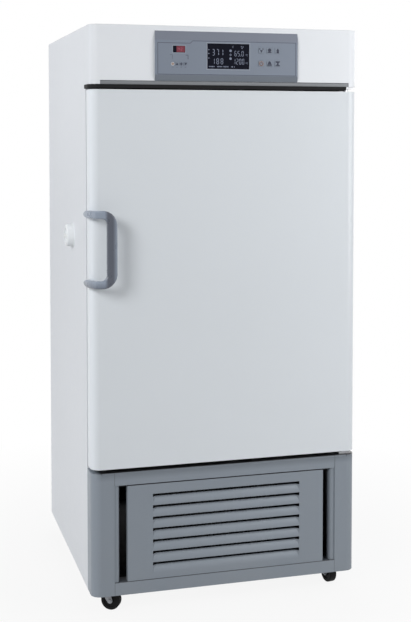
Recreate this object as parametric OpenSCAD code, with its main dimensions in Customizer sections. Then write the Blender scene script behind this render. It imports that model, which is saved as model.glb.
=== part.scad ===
/* [Cabinet] */
// Width over the side panels
body_w = 710; // [690:5:740]
// Depth from the face of the door to the back panel
body_d = 700; // [690:5:730]
// Radius of the rounded vertical front edges
corner_r = 25; // [22:1:27]
// Thickness of the outer sheet steel
sheet_t = 1.2; // [1:0.1:1.6]
// Height of the underside of the base above the floor
floor_gap = 50; // [50:1:56]
// Height of the grey base
base_h = 314; // [306:2:340]

/* [Door] */
// Height of the outer door
door_h = 952; // [920:4:980]
// Thickness of the outer door without its seal
door_t = 54; // [52:1:58]
// Gap between the back of the door and the cabinet, filled by the seal
seal_gap = 10; // [9.6:0.1:11]
// Gap between the base and the door
door_gap = 10; // [9:0.5:12]
// Gap between the door and the strip above it
cap_gap = 3; // [2.5:0.5:5]
// Depth of the dish in the inner side of the door
dish_depth = 10; // [9:0.5:12]
// Width of the door seal
seal_w = 18; // [16:0.5:18]
// Distance of the seal from the edge of the door, top and bottom
seal_inset = 10; // [8:1:14]
// Distance of the seal from the edge of the door, left and right
seal_side = 30; // [29:0.5:32]
// Radius of the hinge pins
hinge_pin_r = 4; // [3:0.5:5]
// Length of each hinge pin inside the door
hinge_pin_l = 20; // [14:1:26]

/* [Handle] */
// Height of the handle
handle_h = 192; // [176:2:210]
// Height of its middle above the lower edge of the door
handle_z = 558; // [520:2:590]
// Height of each arm
arm_h = 19.5; // [16:0.5:24]
// Width of the grip bar
grip_w = 26; // [20:1:30]
// Thickness of the grip bar
grip_t = 16; // [12:1:18]
// Distance from the door's face to the front of the grip
grip_out = 52; // [44:1:60]
// Distance from the door's left edge to the far edge of the grip
grip_reach = 58; // [52:1:66]
// Thickness of the arms where they lie against the side of the door
pad_t = 11; // [8:1:14]
// Distance of the pads' rear ends behind the door's face
pad_y = 42; // [36:1:48]
// How far the pads' rear ends lie below the level of their arms
pad_drop = 3; // [0:0.5:5]
// Inner radius of the corners between the arms and the grip
grip_bend = 14; // [10:1:18]

/* [Head] */
// Height of the black strip above the door
cap_h = 9.5; // [8:0.5:12]
// How far the black strip stands proud of the head
cap_out = 3.5; // [2:0.5:5]
// Height of the grey strip
trim_h = 10; // [8:0.5:12]
// Height of the white head above the grey strip
head_h = 137.5; // [136:0.5:150]
// Thickness of the head's sheet metal
head_t = 1.5; // [1.2:0.1:2]
// Width of the control fascia
fascia_w = 378; // [366:2:390]
// Shift of the fascia to the right
fascia_x = -2.5; // [-4:0.5:4]
// How far the fascia stands out
fascia_out = 6; // [5:0.5:8]
// Wall of the fascia
fascia_t = 3; // [2:0.5:3]
// Height of the sloping band along its top
band_top = 23; // [18:1:26]
// Height of the sloping band along its foot
band_foot = 15; // [12:1:18]
// Width of the display
display_w = 111; // [100:1:116]
// Height of the display
display_h = 64; // [58:1:70]
// Width of the limiter's display
limiter_w = 32; // [28:1:36]
// Height of the limiter's display
limiter_h = 17; // [14:1:20]
// Side of each square key
key_w = 14; // [12:1:16]
// Radius of each small round key
dot_r = 4.2; // [3:0.2:4.8]
// Travel of the keys
key_travel = 0.7; // [0.5:0.1:1]

/* [Chamber] */
// Thickness of the insulated side walls
side_wall = 65; // [60:1:70]
// Thickness of the insulated back wall
back_wall = 67; // [60:1:74]
// Height of the chamber floor above the lower edge of the door
sill_h = 56; // [52:1:64]
// Drop of the chamber roof below the upper edge of the door
header_h = 46; // [44:1:54]
// Thickness of the chamber's steel lining
liner_t = 1; // [0.8:0.1:1.5]
// Depth of the space behind the duct panel
duct_d = 62; // [60:1:70]
// Pitch of the slots in the shelf tracks
slot_pitch = 40; // [30:5:50]
// Pitch of the shelf wires
wire_pitch = 24; // [20:2:30]
// Radius of the circulation fan
circ_fan_r = 62; // [54:1:66]
// Thickness of the glass door's frame
glass_frame_t = 7.4; // [7:0.1:8]
// Width of the glass door's frame members
glass_frame_w = 22; // [18:1:26]
// Thickness of the glass
glass_t = 4; // [3:0.5:5]

/* [Port] */
// Height of the cable port above the lower edge of the door
port_z = 569; // [540:1:600]
// Distance of the port from the face of the door
port_y = 270; // [220:5:340]
// Bore radius of the port
port_r = 25; // [20:1:28]
// How far the plug stands out of the side
plug_out = 18; // [14:1:22]

/* [Base] */
// Width of each post's face
post_w = 58; // [54:1:62]
// Width of the step at the inner edge of each post
lip_w = 13; // [10:1:16]
// Height of the sloping top strip
ledge_h = 11.5; // [10:0.5:14]
// Height of the top rail below the strip
rail_top_h = 21.5; // [18:0.5:26]
// Height of the bottom rail
rail_foot_h = 33; // [30:1:38]
// Wall of the posts and rails
rail_t = 2.5; // [2:0.1:3]
// Width of the open slot on each side of the louvre panel
side_slot = 20; // [16:1:24]
// Thickness of the louvre panel
panel_t = 1.5; // [1.2:0.1:2]
// Number of louvres
louvre_n = 7; // [5:1:7]
// Pitch of the louvres
louvre_pitch = 29.5; // [28:0.5:31]
// Width of each louvre
louvre_w = 396; // [360:4:420]
// Height of each bent blade
blade_h = 19.5; // [16:0.5:22]
// How far the top of each blade is pressed in
blade_in = 9; // [6:0.5:11]
// Height of the flat strip between one louvre and the slit under it
louvre_land = 1.6; // [1:0.2:3]
// Distance from the upper edge of the panel to the highest slit
louvre_top = 26; // [20:0.5:28]

/* [Casters] */
// Radius of the wheels
wheel_r = 25; // [22:1:25]
// Width of the wheels
wheel_w = 20; // [16:1:22]
// Distance of the swivel axis from the side
swivel_side = 45; // [45:1:56]
// Distance of the swivel axis from the front, and from the back panel
swivel_in = 52; // [45:1:56]
// Trail of the wheels
trail = 14; // [12:1:16]
// Radius of the axles
axle_r = 3; // [2.5:0.5:4]
// Angle of the front left caster
turn_fl = -30; // [-180:5:180]
// Angle of the front right caster
turn_fr = 101; // [-180:1:180]
// Angle of the two rear casters
turn_rear = 90; // [-180:5:180]

/* [Machinery] */
// Radius of the compressor's shell
comp_r = 72; // [60:1:78]
// Width of the condenser
cond_w = 340; // [300:5:360]
// Height of the condenser
cond_h = 210; // [200:5:220]
// Radius of the condenser fan
cond_fan_r = 84; // [70:1:88]

/* [Hidden] */
$fn = 48;

// Side of the cabinet, its front plane, and the levels of the front from the floor up
half_w = body_w / 2;
frame_y = door_t + seal_gap;
base_z = floor_gap;
base_top = base_z + base_h;
door_z = base_top + door_gap;
door_top = door_z + door_h;
cap_z = door_top + cap_gap;
trim_z = cap_z + cap_h;
head_z = trim_z + trim_h;
top_z = head_z + head_h;
back_y = body_d - sheet_t;
inner_w = half_w - sheet_t;
flat_w = half_w - corner_r;
run = 0.3;
pin_play = 0.06;

// Chamber
ch_w = half_w - side_wall;
ch_z = door_z + sill_h;
ch_top = door_top - header_h;
ch_back = body_d - back_wall;
frame_t = 4;
frame_return = 14;
duct_y = ch_back - duct_d;
duct_t = 1.2;
track_t = 4;
track_w = 20;
track_y = [110, duct_y - 60];
clip_l = 9;
clip_h = 12;
shelf_n = 3;
shelf_rod = 3.5;
wire_r = 1.6;
shelf_w = ch_w - track_t - 6;
shelf_y0 = frame_y + 26;
shelf_y1 = duct_y - 16;
slot_n = floor((ch_top - ch_z - 60) / slot_pitch);
shelf_step = floor(slot_n / 4);
fan_z = ch_top - 130;
fan_y = duct_y + 10;

// Hinges: the pins stand on the centre of the door's rounded edge
hinge_x = half_w - corner_r;
hinge_y = corner_r;
glass_r = glass_frame_t / 2;
glass_lap = 7;
glass_x = ch_w + 3;
glass_y = frame_y - run - glass_r;
glass_left = -(ch_w + glass_lap);
glass_z0 = ch_z - glass_lap;
glass_z1 = ch_top + glass_lap;
glass_pin_r = 2;
seal_x = half_w - seal_side;
dish_x = seal_x - seal_w - 5;
dish_z0 = door_z + seal_inset + seal_w + 2;
dish_z1 = door_top - seal_inset - seal_w - 2;
dish_y = door_t - dish_depth;
liner_flange = 2;
liner_edge = 8;

// Base
lip_x = half_w - post_w - lip_w;
post_x = half_w - post_w;
panel_x = lip_x - side_slot;
rail_top_z = base_top - ledge_h - rail_top_h;
rail_foot_z = base_z + rail_foot_h;
panel_z0 = rail_foot_z + run;
panel_z1 = rail_top_z - 2.5;
panel_y = 2;
panel_fold = 16;
tray_z = base_z + 16;
tray_t = 2;
brace_front = 200;
brace_rear = 220;
brace_w = 26;
rail_shelf = 36;
lip_roll = 9;
lip_return = 11;
swivel_x = half_w - swivel_side;
swivel_front = swivel_in;
swivel_rear = body_d - swivel_in;
axle_z = wheel_r;
stem_r = 6;

// The middle of the whole thing stands on the origin
left_reach = half_w + 2 + plug_out;
rear_reach = body_d + 3;
shift_x = (left_reach - half_w) / 2;
shift_y = (grip_out - rear_reach) / 2;

white = "white";
steel = "silver";
grey = [0.47, 0.49, 0.53];
dark = [0.10, 0.10, 0.11];

module place() {
    translate([shift_x, shift_y, 0]) children();
}

module bar(x0, x1, y0, y1, z0, z1) {
    translate([x0, y0, z0]) cube([x1 - x0, y1 - y0, z1 - z0]);
}

// A frame seen from the front, between an outer and an inner rectangle
module frame(x0, x1, z0, z1, w, y0, y1) {
    difference() {
        bar(x0, x1, y0, y1, z0, z1);
        bar(x0 + w, x1 - w, y0 - 1, y1 + 1, z0 + w, z1 - w);
    }
}

module rod_x(r, l) {
    rotate([0, 90, 0]) cylinder(r = r, h = l);
}

module rod_y(r, l) {
    rotate([-90, 0, 0]) cylinder(r = r, h = l);
}

// A flat outline given across and up, pushed back from y0 to y1
module pressed(y0, y1) {
    translate([0, y1, 0]) rotate([90, 0, 0]) linear_extrude(y1 - y0) children();
}

// A side outline given back and up, drawn out from x0 to x1
module drawn(x0, x1) {
    translate([x0, 0, 0]) rotate([90, 0, 90]) linear_extrude(x1 - x0) children();
}

module soft_rect(w, h, r) {
    union() {
        square([w - 2 * r, h], center = true);
        square([w, h - 2 * r], center = true);
        for (sx = [-1, 1], sy = [-1, 1]) {
            translate([sx * (w / 2 - r), sy * (h / 2 - r)]) circle(r);
        }
    }
}

// Plan of a front unit with its two rounded corners, inset all round by t
module front_plan(t, depth) {
    r = corner_r - t;
    union() {
        translate([-flat_w, t]) square([2 * flat_w, depth - t]);
        translate([-half_w + t, corner_r]) square([2 * (half_w - t), depth - corner_r]);
        for (s = [-1, 1]) {
            translate([s * flat_w, corner_r]) circle(r);
        }
    }
}

module cabinet_shell() {
    color(white) difference() {
        union() {
            for (s = [-1, 1]) {
                mirror([s < 0 ? 1 : 0, 0, 0]) {
                    bar(inner_w, half_w, frame_y, back_y, base_z, top_z);
                    bar(half_w - frame_return, inner_w + 0.5, frame_y, frame_y + sheet_t,
                        base_top, top_z);
                }
            }
            bar(-inner_w - 0.5, inner_w + 0.5, frame_y, back_y, top_z - sheet_t, top_z);
            bar(-inner_w - 0.5, inner_w + 0.5, frame_y, back_y, base_top - sheet_t, base_top);
            bar(-inner_w - 0.5, inner_w + 0.5, frame_y, back_y, trim_z, trim_z + sheet_t);
        }
        translate([-half_w - 1, port_y, door_z + port_z]) rod_x(port_r + 2.2, side_wall);
        translate([half_w - 100, ch_back - 20, base_top - 10]) cylinder(r = 10, h = 20);
    }
}

vent_n = 9;
vent_pitch = 20;
inlet_x = 210;
inlet_z = base_z + 84;

module back_screw_places() {
    for (s = [-1, 1], z = [base_z + 20, base_top + 20, (base_top + top_z) / 2, top_z - 30]) {
        translate([s * (half_w - 14), 0, z]) children();
    }
    for (x = [-120, 120]) {
        translate([x, 0, top_z - 14]) children();
    }
}

module back_panel() {
    color(white) difference() {
        bar(-half_w, half_w, back_y, body_d, base_z, top_z);
        for (i = [0 : vent_n - 1], s = [0, 1]) {
            bar(-270 + s * 220, -70 + s * 220, back_y - 1, body_d + 1,
                base_z + 60 + i * vent_pitch, base_z + 68 + i * vent_pitch);
        }
        bar(inlet_x - 14, inlet_x + 14, back_y - 1, body_d + 1, inlet_z - 20, inlet_z + 20);
        back_screw_places() translate([0, back_y - 1, 0]) rod_y(2.1, 5);
    }
}

module head_front() {
    depth = frame_y;
    color(white) difference() {
        translate([0, 0, trim_z]) linear_extrude(top_z - trim_z) front_plan(0, depth);
        translate([0, 0, head_z + head_t]) linear_extrude(head_h - 2 * head_t) front_plan(head_t,
            depth + 1);
        bar(-flat_w, flat_w, -1, depth + 1, trim_z - 1, head_z);
        bar(fascia_left + 9, fascia_right - 9, -1, head_t + 1, head_z + 9, head_z + head_h - 22);
    }
}

fascia_left = fascia_x - fascia_w / 2;
fascia_right = fascia_x + fascia_w / 2;
fascia_z0 = head_z;
fascia_z1 = head_z + head_h - 13;
fascia_flat0 = fascia_z0 + band_foot;
fascia_flat1 = fascia_z1 - band_top;
display_z = fascia_flat0 + 16 + display_h / 2;
display_x = -1.1;
limiter_x = -130.2;
limiter_z = fascia_flat1 - 14 - limiter_h / 2;
key_x = [86.4, 108.6, 130.8];
key_row = [fascia_flat1 - 22, fascia_flat1 - 55];
dot_x = [-135.7, -124.4, -113.1];
dot_z = fascia_flat1 - 59.5;
key_gap = 0.35;

module fascia_side(t) {
    polygon([
        [t > 0 ? 1 : 0, fascia_z0 + t], [-fascia_out + t, fascia_flat0 + t / 2],
        [-fascia_out + t, fascia_flat1 - t / 2], [t > 0 ? 1 : 0, fascia_z1 - t]
    ]);
}

module square_key_places() {
    for (x = key_x, z = key_row) {
        translate([x, z]) children();
    }
}

module control_fascia() {
    color(grey) difference() {
        intersection() {
            drawn(fascia_left, fascia_right) fascia_side(0);
            linear_extrude(top_z + 10) polygon([
                [fascia_left, 1], [fascia_left, -fascia_out + 2.5],
                [fascia_left + 2.5, -fascia_out - 1], [fascia_right - 2.5, -fascia_out - 1],
                [fascia_right, -fascia_out + 2.5], [fascia_right, 1]
            ]);
        }
        drawn(fascia_left + fascia_t, fascia_right - fascia_t) fascia_side(fascia_t);
        bar(display_x - display_w / 2, display_x + display_w / 2, -fascia_out - 1, 1,
            display_z - display_h / 2, display_z + display_h / 2);
        bar(limiter_x - limiter_w / 2, limiter_x + limiter_w / 2, -fascia_out - 1, 1,
            limiter_z - limiter_h / 2, limiter_z + limiter_h / 2);
        pressed(-fascia_out - 1, 1) square_key_places() soft_rect(key_w + 2 * key_gap,
            key_w + 2 * key_gap, 3);
        for (x = dot_x) {
            translate([x, -fascia_out - 1, dot_z]) rod_y(dot_r + key_gap, fascia_out + 2);
        }
    }
}

module window(x, z, w, h) {
    color([0.05, 0.06, 0.12]) bar(x - w / 2, x + w / 2, -fascia_out + 0.4, -fascia_out + fascia_t,
        z - h / 2, z + h / 2);
}

module display_window() {
    window(display_x, display_z, display_w, display_h);
}

module limiter_window() {
    window(limiter_x, limiter_z, limiter_w, limiter_h);
}

module square_key(i, j) {
    color("whitesmoke") translate([key_x[i], 0, key_row[j]]) union() {
        pressed(-fascia_out - 1, -fascia_out + fascia_t + 0.4) soft_rect(key_w, key_w, 2.8);
        pressed(-fascia_out + fascia_t + 0.2, -fascia_out + fascia_t + 1.4) soft_rect(key_w + 3,
            key_w + 3, 3);
    }
}

module dot_key(i) {
    color("whitesmoke") translate([dot_x[i], 0, dot_z]) union() {
        translate([0, -fascia_out - 1, 0]) rod_y(dot_r, fascia_t + 1.4);
        translate([0, -fascia_out + fascia_t + 0.2, 0]) rod_y(dot_r + 1.2, 1.2);
    }
}

module head_trim() {
    depth = frame_y;
    color(grey) drawn(-flat_w, flat_w) polygon([
        [1, trim_z], [1, trim_z + trim_h - 3], [2.5, head_z], [depth, head_z], [depth, trim_z]
    ]);
}

// The black strip, which ends beside the upper hinge
module head_cap() {
    depth = frame_y;
    out_r = corner_r + cap_out;
    right_end = hinge_x - 7;
    color(dark) translate([0, 0, cap_z]) linear_extrude(cap_h) difference() {
        union() {
            translate([-flat_w, -cap_out]) square([right_end + flat_w, depth + cap_out]);
            translate([-half_w - cap_out, corner_r]) square([corner_r + cap_out, depth - corner_r]);
            translate([-flat_w, corner_r]) circle(out_r);
        }
        translate([right_end - 3, -cap_out - 1]) square([4, 4]);
    }
}

module foam_insulation() {
    x1 = ch_w + liner_t;
    z0 = ch_z - liner_t;
    z1 = ch_top + liner_t;
    y0 = frame_y + frame_t;
    g = 0.2;
    color("khaki") {
        difference() {
            bar(-inner_w, -x1, y0, back_y, base_top, trim_z);
            translate([-half_w, port_y, door_z + port_z]) rod_x(port_r + 2.2, side_wall);
        }
        bar(x1, inner_w, y0, back_y, base_top, trim_z);
        difference() {
            bar(-x1 + g, x1 - g, y0, back_y, base_top, z0);
            translate([half_w - 100, ch_back - 20, base_top - 1]) cylinder(r = 10, h = side_wall);
        }
        bar(-x1 + g, x1 - g, y0, back_y, z1, trim_z);
        bar(-x1 + g, x1 - g, ch_back + liner_t, back_y, z0 + g, z1 - g);
    }
}

module chamber_liner() {
    x1 = ch_w + liner_t;
    color(steel) difference() {
        bar(-x1, x1, frame_y + frame_t, ch_back + liner_t, ch_z - liner_t, ch_top + liner_t);
        bar(-ch_w, ch_w, frame_y, ch_back, ch_z, ch_top);
        translate([-half_w, port_y, door_z + port_z]) rod_x(port_r + 2.2, side_wall + 2);
        translate([half_w - 100, ch_back - 20, ch_z - 5]) cylinder(r = 10, h = 10);
    }
}

// Plastic frame that the seal closes on, with the two pivots of the glass door
module front_frame() {
    x1 = half_w - frame_return;
    color("whitesmoke") difference() {
        union() {
            bar(-x1, x1, frame_y, frame_y + frame_t, base_top, trim_z);
            for (s = [0, 1]) {
                z = s == 0 ? glass_z0 - run - frame_t : glass_z1 + run;
                bar(glass_x - 6, glass_x + 5, glass_y - glass_r, frame_y + 1, z, z + frame_t);
                pin_z = s == 0 ? glass_z0 - run - 1 : glass_z1 + run + 1 - 11;
                translate([glass_x, glass_y, pin_z]) cylinder(r = glass_pin_r, h = 11);
            }
        }
        bar(-ch_w, ch_w, frame_y - 1, frame_y + frame_t + 1, ch_z, ch_top);
    }
}

module shelf_tracks() {
    z0 = ch_z + 20;
    color(steel) for (s = [-1, 1], y = track_y) {
        mirror([s < 0 ? 1 : 0, 0, 0]) difference() {
            bar(ch_w - track_t, ch_w, y, y + track_w, z0, ch_top - 20);
            for (i = [1 : slot_n]) {
                bar(ch_w - track_t - 1, ch_w - 1, y + 7, y + 13, z0 + i * slot_pitch - 8,
                    z0 + i * slot_pitch);
            }
        }
    }
}

function shelf_z(i) = ch_z + 20 + (i + 1) * shelf_step * slot_pitch;

module shelf_clips() {
    x0 = ch_w - track_t;
    color(steel) for (i = [0 : shelf_n - 1], s = [-1, 1], y = track_y) {
        mirror([s < 0 ? 1 : 0, 0, 0]) union() {
            bar(x0 - clip_l, x0, y + 3, y + 17, shelf_z(i) - 3, shelf_z(i));
            bar(x0 - 2, x0, y + 3, y + 17, shelf_z(i) - clip_h, shelf_z(i));
            bar(x0, x0 + 2.5, y + 7.3, y + 12.7, shelf_z(i) - 7, shelf_z(i) - 1);
        }
    }
}

module shelf(i) {
    z = shelf_z(i) + shelf_rod;
    wires = floor((2 * shelf_w - 20) / wire_pitch);
    span = wires * wire_pitch;
    color(steel) union() {
        for (s = [-1, 1]) {
            translate([s * (shelf_w - shelf_rod), shelf_y0, z]) rod_y(shelf_rod,
                shelf_y1 - shelf_y0, $fn = 8);
        }
        for (y = [shelf_y0, (shelf_y0 + shelf_y1) / 2, shelf_y1]) {
            translate([-shelf_w + shelf_rod, y, z]) rod_x(shelf_rod - 0.4,
                2 * (shelf_w - shelf_rod), $fn = 8);
        }
        for (k = [0 : wires]) {
            translate([-span / 2 + k * wire_pitch, shelf_y0, z + shelf_rod - 1]) {
                rod_y(wire_r, shelf_y1 - shelf_y0, $fn = 8);
            }
        }
    }
}

module shelf_lower() {
    shelf(0);
}

module shelf_middle() {
    shelf(1);
}

module shelf_upper() {
    shelf(2);
}

guard_ring = 13;
vent_step = 40;
vent_w = 30;

module duct_panel() {
    color(steel) difference() {
        bar(-ch_w, ch_w, duct_y, duct_y + duct_t, ch_z, ch_top);
        difference() {
            union() {
                for (r = [circ_fan_r : -guard_ring : guard_ring + 4]) {
                    difference() {
                        translate([0, duct_y - 1, fan_z]) rod_y(r, duct_t + 2);
                        translate([0, duct_y - 2, fan_z]) rod_y(r - guard_ring + 3, duct_t + 4);
                    }
                }
            }
            for (a = [45, 135]) {
                translate([0, duct_y, fan_z]) rotate([0, a, 0]) translate([-80, -3,
                    -2.5]) cube([160, 8, 5]);
            }
        }
        for (i = [-6 : 6], j = [0, 1]) {
            bar(i * vent_step - vent_w / 2, i * vent_step + vent_w / 2, duct_y - 1,
                duct_y + duct_t + 1, ch_z + 30 + j * 16, ch_z + 36 + j * 16);
        }
    }
}

// A finned coil: a block slotted from both sides, with bends on its ends
module fin_coil(w, d, h, pitch, rows) {
    n = floor((w - 20) / pitch);
    bend = h / (2 * rows);
    union() {
        difference() {
            translate([-w / 2 + 14, 0, 0]) cube([w - 28, d, h]);
            for (i = [0 : n - 2], s = [0, 1]) {
                translate([-n * pitch / 2 + (i + 0.5) * pitch + 1, s == 0 ? -1 : d / 2 + 2, 3]) {
                    cube([pitch - 1.6, d / 2 - 1, h - 6]);
                }
            }
        }
        for (s = [-1, 1], k = [0 : rows - 1]) {
            translate([s * (w / 2 - 14 - 0.5), d / 2, bend * (2 * k + 1)]) rotate([90, 0,
                s * 90 - 90]) {
                difference() {
                    rotate_extrude() translate([bend * 0.55, 0]) circle(4);
                    translate([-60, -60, -10]) cube([60, 120, 20]);
                }
            }
        }
        for (s = [-1, 1]) {
            translate([s * (w / 2 - 14) - 1, 0, -run]) cube([2, d + run, h]);
        }
    }
}

coil_d = 32;
coil_h = 120;
coil_drop = 250;
coil_side = 90;

module evaporator() {
    color("silver") translate([0, ch_back - coil_d, fan_z - coil_drop]) fin_coil(2 * (ch_w -
        coil_side), coil_d - run, coil_h, 12, 3);
}

module circulation_motor() {
    color("dimgray") translate([0, ch_back, fan_z]) rotate([90, 0, 0]) union() {
        cylinder(r = 29, h = 24);
        cylinder(r = 36, h = 3);
        cylinder(r = 10, h = 28);
        cylinder(r = 4, h = ch_back - fan_y - 2);
    }
}

module impeller(r, hub, depth, blades, bore, pitch_angle) {
    difference() {
        union() {
            cylinder(r = hub, h = depth);
            for (i = [0 : blades - 1]) {
                rotate([0, 0, i * 360 / blades]) intersection() {
                    translate([0, 0, depth / 2]) rotate([pitch_angle, 0, 0]) {
                        translate([hub - 2, -r * 0.36, -0.8]) cube([r - hub + 1, r * 0.72, 1.6]);
                    }
                    cylinder(r = r, h = depth);
                }
            }
        }
        translate([0, 0, -1]) cylinder(r = bore, h = depth + 2);
    }
}

module circulation_fan() {
    color("gray") translate([0, fan_y + 16, fan_z]) rotate([90, 0, 0]) {
        impeller(circ_fan_r - 3, 16, 14, 5, 4 + pin_play, 32);
    }
}

module port_sleeve() {
    l = half_w - ch_w;
    color("whitesmoke") translate([-half_w, port_y, door_z + port_z]) difference() {
        union() {
            translate([-2, 0, 0]) rod_x(port_r + 7, 2);
            rod_x(port_r + 2, l);
            translate([l, 0, 0]) rod_x(port_r + 7, 2);
        }
        translate([-3, 0, 0]) rod_x(port_r, l + 10);
    }
}

module port_plug() {
    x0 = -half_w - 2;
    color("white") translate([x0, port_y, door_z + port_z]) union() {
        translate([-2, 0, 0]) rod_x(port_r - run, 54);
        translate([-plug_out, 0, 0]) rotate([0, 90, 0]) difference() {
            union() {
                translate([0, 0, 3]) cylinder(r = port_r + 4, h = plug_out - 3 - run);
                cylinder(r1 = port_r + 1, r2 = port_r + 4, h = 3);
            }
            translate([0, 0, -1]) difference() {
                cylinder(r = port_r - 4, h = 6);
                translate([-4, -port_r, 0]) cube([8, 2 * port_r, 7]);
            }
        }
    }
}

// The step at a post's inner edge: it lies a little behind the face and rolls back round its edge
module lip_plan() {
    y0 = rail_t + 0.5;
    roll_x = -lip_x - lip_roll;
    translate([-post_x - 1, y0]) square([roll_x + post_x + 1, rail_t]);
    translate([-lip_x - rail_t, y0 + lip_roll]) square([rail_t, lip_return]);
    intersection() {
        translate([roll_x, y0]) square([lip_roll, lip_roll]);
        translate([roll_x, y0 + lip_roll]) difference() {
            circle(lip_roll);
            circle(lip_roll - rail_t);
        }
    }
}

module post() {
    color(grey) union() {
        intersection() {
            translate([0, 0, base_z]) linear_extrude(base_h) difference() {
                front_plan(0, frame_y);
                front_plan(rail_t, frame_y + 1);
            }
            union() {
                bar(-half_w, -post_x, -1, frame_y, base_z, base_top - ledge_h);
                bar(-half_w, -flat_w, -1, frame_y, base_z, base_top);
            }
        }
        bar(-post_x - rail_t, -post_x, rail_t - 1, frame_y, rail_foot_z, base_top - ledge_h);
        translate([0, 0, rail_foot_z]) linear_extrude(rail_top_z - rail_foot_z) lip_plan();
        translate([0, 0, base_top - rail_t]) linear_extrude(rail_t) intersection() {
            front_plan(0, frame_y);
            translate([-half_w, 0]) square([corner_r, frame_y]);
        }
    }
}

module post_left() {
    post();
}

module post_right() {
    mirror([1, 0, 0]) post();
}

module top_rail() {
    z1 = base_top;
    z0 = base_top - ledge_h;
    color(grey) union() {
        drawn(-flat_w, flat_w) polygon([
            [0, z0], [0, z1 - 4], [4, z1], [frame_y, z1], [frame_y, z1 - rail_t], [5, z1 - rail_t],
            [rail_t, z1 - rail_t - 2.5], [rail_t, z0]
        ]);
        drawn(-post_x, post_x) polygon([
            [0.6, rail_top_z], [0.6, z0 + 0.5], [rail_t, z0 + 0.5], [rail_t + 0.6, z0 - 1],
            [rail_t + 0.6, rail_top_z + rail_t], [26, rail_top_z + rail_t], [26, rail_top_z]
        ]);
    }
}

module bottom_rail() {
    color(grey) drawn(-post_x, post_x) polygon([
        [0, base_z], [0, rail_foot_z - 1], [1, rail_foot_z], [rail_shelf, rail_foot_z],
        [rail_shelf, rail_foot_z - rail_t], [rail_t, rail_foot_z - rail_t], [rail_t, base_z]
    ]);
}

module base_tray() {
    color(grey) difference() {
        union() {
            translate([0, 0, tray_z]) linear_extrude(tray_t) front_plan(rail_t, frame_y);
            bar(-inner_w, inner_w, frame_y, back_y, tray_z, tray_z + tray_t);
            for (s = [-1, 1], y = [swivel_front, swivel_rear]) {
                translate([s * swivel_x, y, tray_z - 6]) cylinder(r = 24, h = 7);
            }
            bar(-inner_w, inner_w, back_y - 2, back_y, base_z, tray_z + 1);
            for (y = [brace_front, body_d - brace_rear]) {
                bar(-inner_w + 4, inner_w - 4, y, y + brace_w, tray_z - 12, tray_z + 1);
            }
        }
        for (s = [-1, 1], y = [swivel_front, swivel_rear]) {
            translate([s * swivel_x, y, tray_z - 8]) cylinder(r = stem_r + pin_play, h = 12);
        }
    }
}

// One louvre: the sheet is slit along the top and pressed in below the slit as a curved hollow, which
// starts flush at its foot, is deepest at the slit and slopes back to the sheet at both ends
blade_r = (blade_h * blade_h + blade_in * blade_in) / (2 * blade_in);
slit_h = louvre_pitch - blade_h - louvre_land;

module blade_side(t) {
    difference() {
        translate([-1, 0]) square([blade_in + 1 + t, blade_h]);
        translate([blade_r, 0]) circle(blade_r - t);
    }
}

module blade_plan(t) {
    w = louvre_w / 2 + 0.4 * t;
    deep = blade_in + 2 * panel_t;
    polygon([[-w, -1], [-w, 0], [-w + deep, deep], [w - deep, deep], [w, 0], [w, -1]]);
}

module hollow(t) {
    intersection() {
        drawn(-louvre_w / 2 - 2 * t, louvre_w / 2 + 2 * t) blade_side(t);
        linear_extrude(blade_h) blade_plan(t);
    }
}

module louvre() {
    difference() {
        intersection() {
            hollow(panel_t);
            bar(-louvre_w, louvre_w, 0, 2 * blade_in, 0, blade_h);
        }
        hollow(0);
    }
}

module louvre_panel() {
    stack = (louvre_n - 1) * louvre_pitch;
    first_z = panel_z1 - louvre_top - slit_h - blade_h - stack;
    color(grey) union() {
        difference() {
            bar(-panel_x, panel_x, panel_y, panel_y + panel_t, panel_z0, panel_z1);
            for (i = [0 : louvre_n - 1]) {
                bar(-louvre_w / 2, louvre_w / 2, panel_y - 1, panel_y + panel_t + 1,
                    first_z + i * louvre_pitch, first_z + i * louvre_pitch + blade_h + slit_h);
            }
        }
        for (i = [0 : louvre_n - 1]) {
            translate([0, panel_y, first_z + i * louvre_pitch]) louvre();
        }
        for (s = [-1, 1]) {
            x = s * (panel_x - panel_t / 2);
            bar(x - panel_t / 2, x + panel_t / 2, panel_y, panel_y + panel_fold, panel_z0, panel_z1);
        }
        for (z = [panel_z0, panel_z1 - panel_t]) {
            bar(-panel_x, panel_x, panel_y, panel_y + panel_fold, z, z + panel_t);
        }
    }
}

comp_side = 205;
comp_rear = 190;
comp_x = half_w - comp_side;
comp_y = body_d - comp_rear;
comp_z = tray_z + tray_t;
comp_foot = 16;
comp_body = 150;
stub_x = 34;
dome_r = 1.5 * comp_r;
dome_drop = sqrt(dome_r * dome_r - comp_r * comp_r);
dome_h = dome_r - dome_drop;

module compressor() {
    color(dark) translate([comp_x, comp_y, comp_z]) union() {
        for (sx = [-1, 1], sy = [-1, 1]) {
            translate([sx * comp_r * 1.15, sy * comp_r * 0.75, 0]) cylinder(r = 12, h = comp_foot);
        }
        translate([-comp_r * 1.4, -comp_r, comp_foot - 0.5]) cube([2.8 * comp_r, 2 * comp_r, 3]);
        translate([0, 0, comp_foot]) cylinder(r = comp_r, h = comp_body);
        translate([0, 0, comp_foot + comp_body * 0.55]) cylinder(r = comp_r + 3, h = 5);
        intersection() {
            translate([0, 0, comp_foot + comp_body - dome_drop]) sphere(dome_r);
            translate([0, 0, comp_foot + comp_body - 1]) cylinder(r = comp_r, h = comp_r);
        }
        for (s = [-1, 1]) {
            translate([s * stub_x, 0, comp_foot + comp_body]) cylinder(r = 6, h = dome_h + 10);
        }
        translate([comp_r - 6, -26, comp_foot + 50]) cube([26, 52, 60]);
    }
}

cond_y = 92;
cond_d = 34;
cond_z = tray_z + tray_t + 16;
fan_axis_z = cond_z + cond_h / 2;
shroud_y = cond_y + cond_d;

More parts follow.
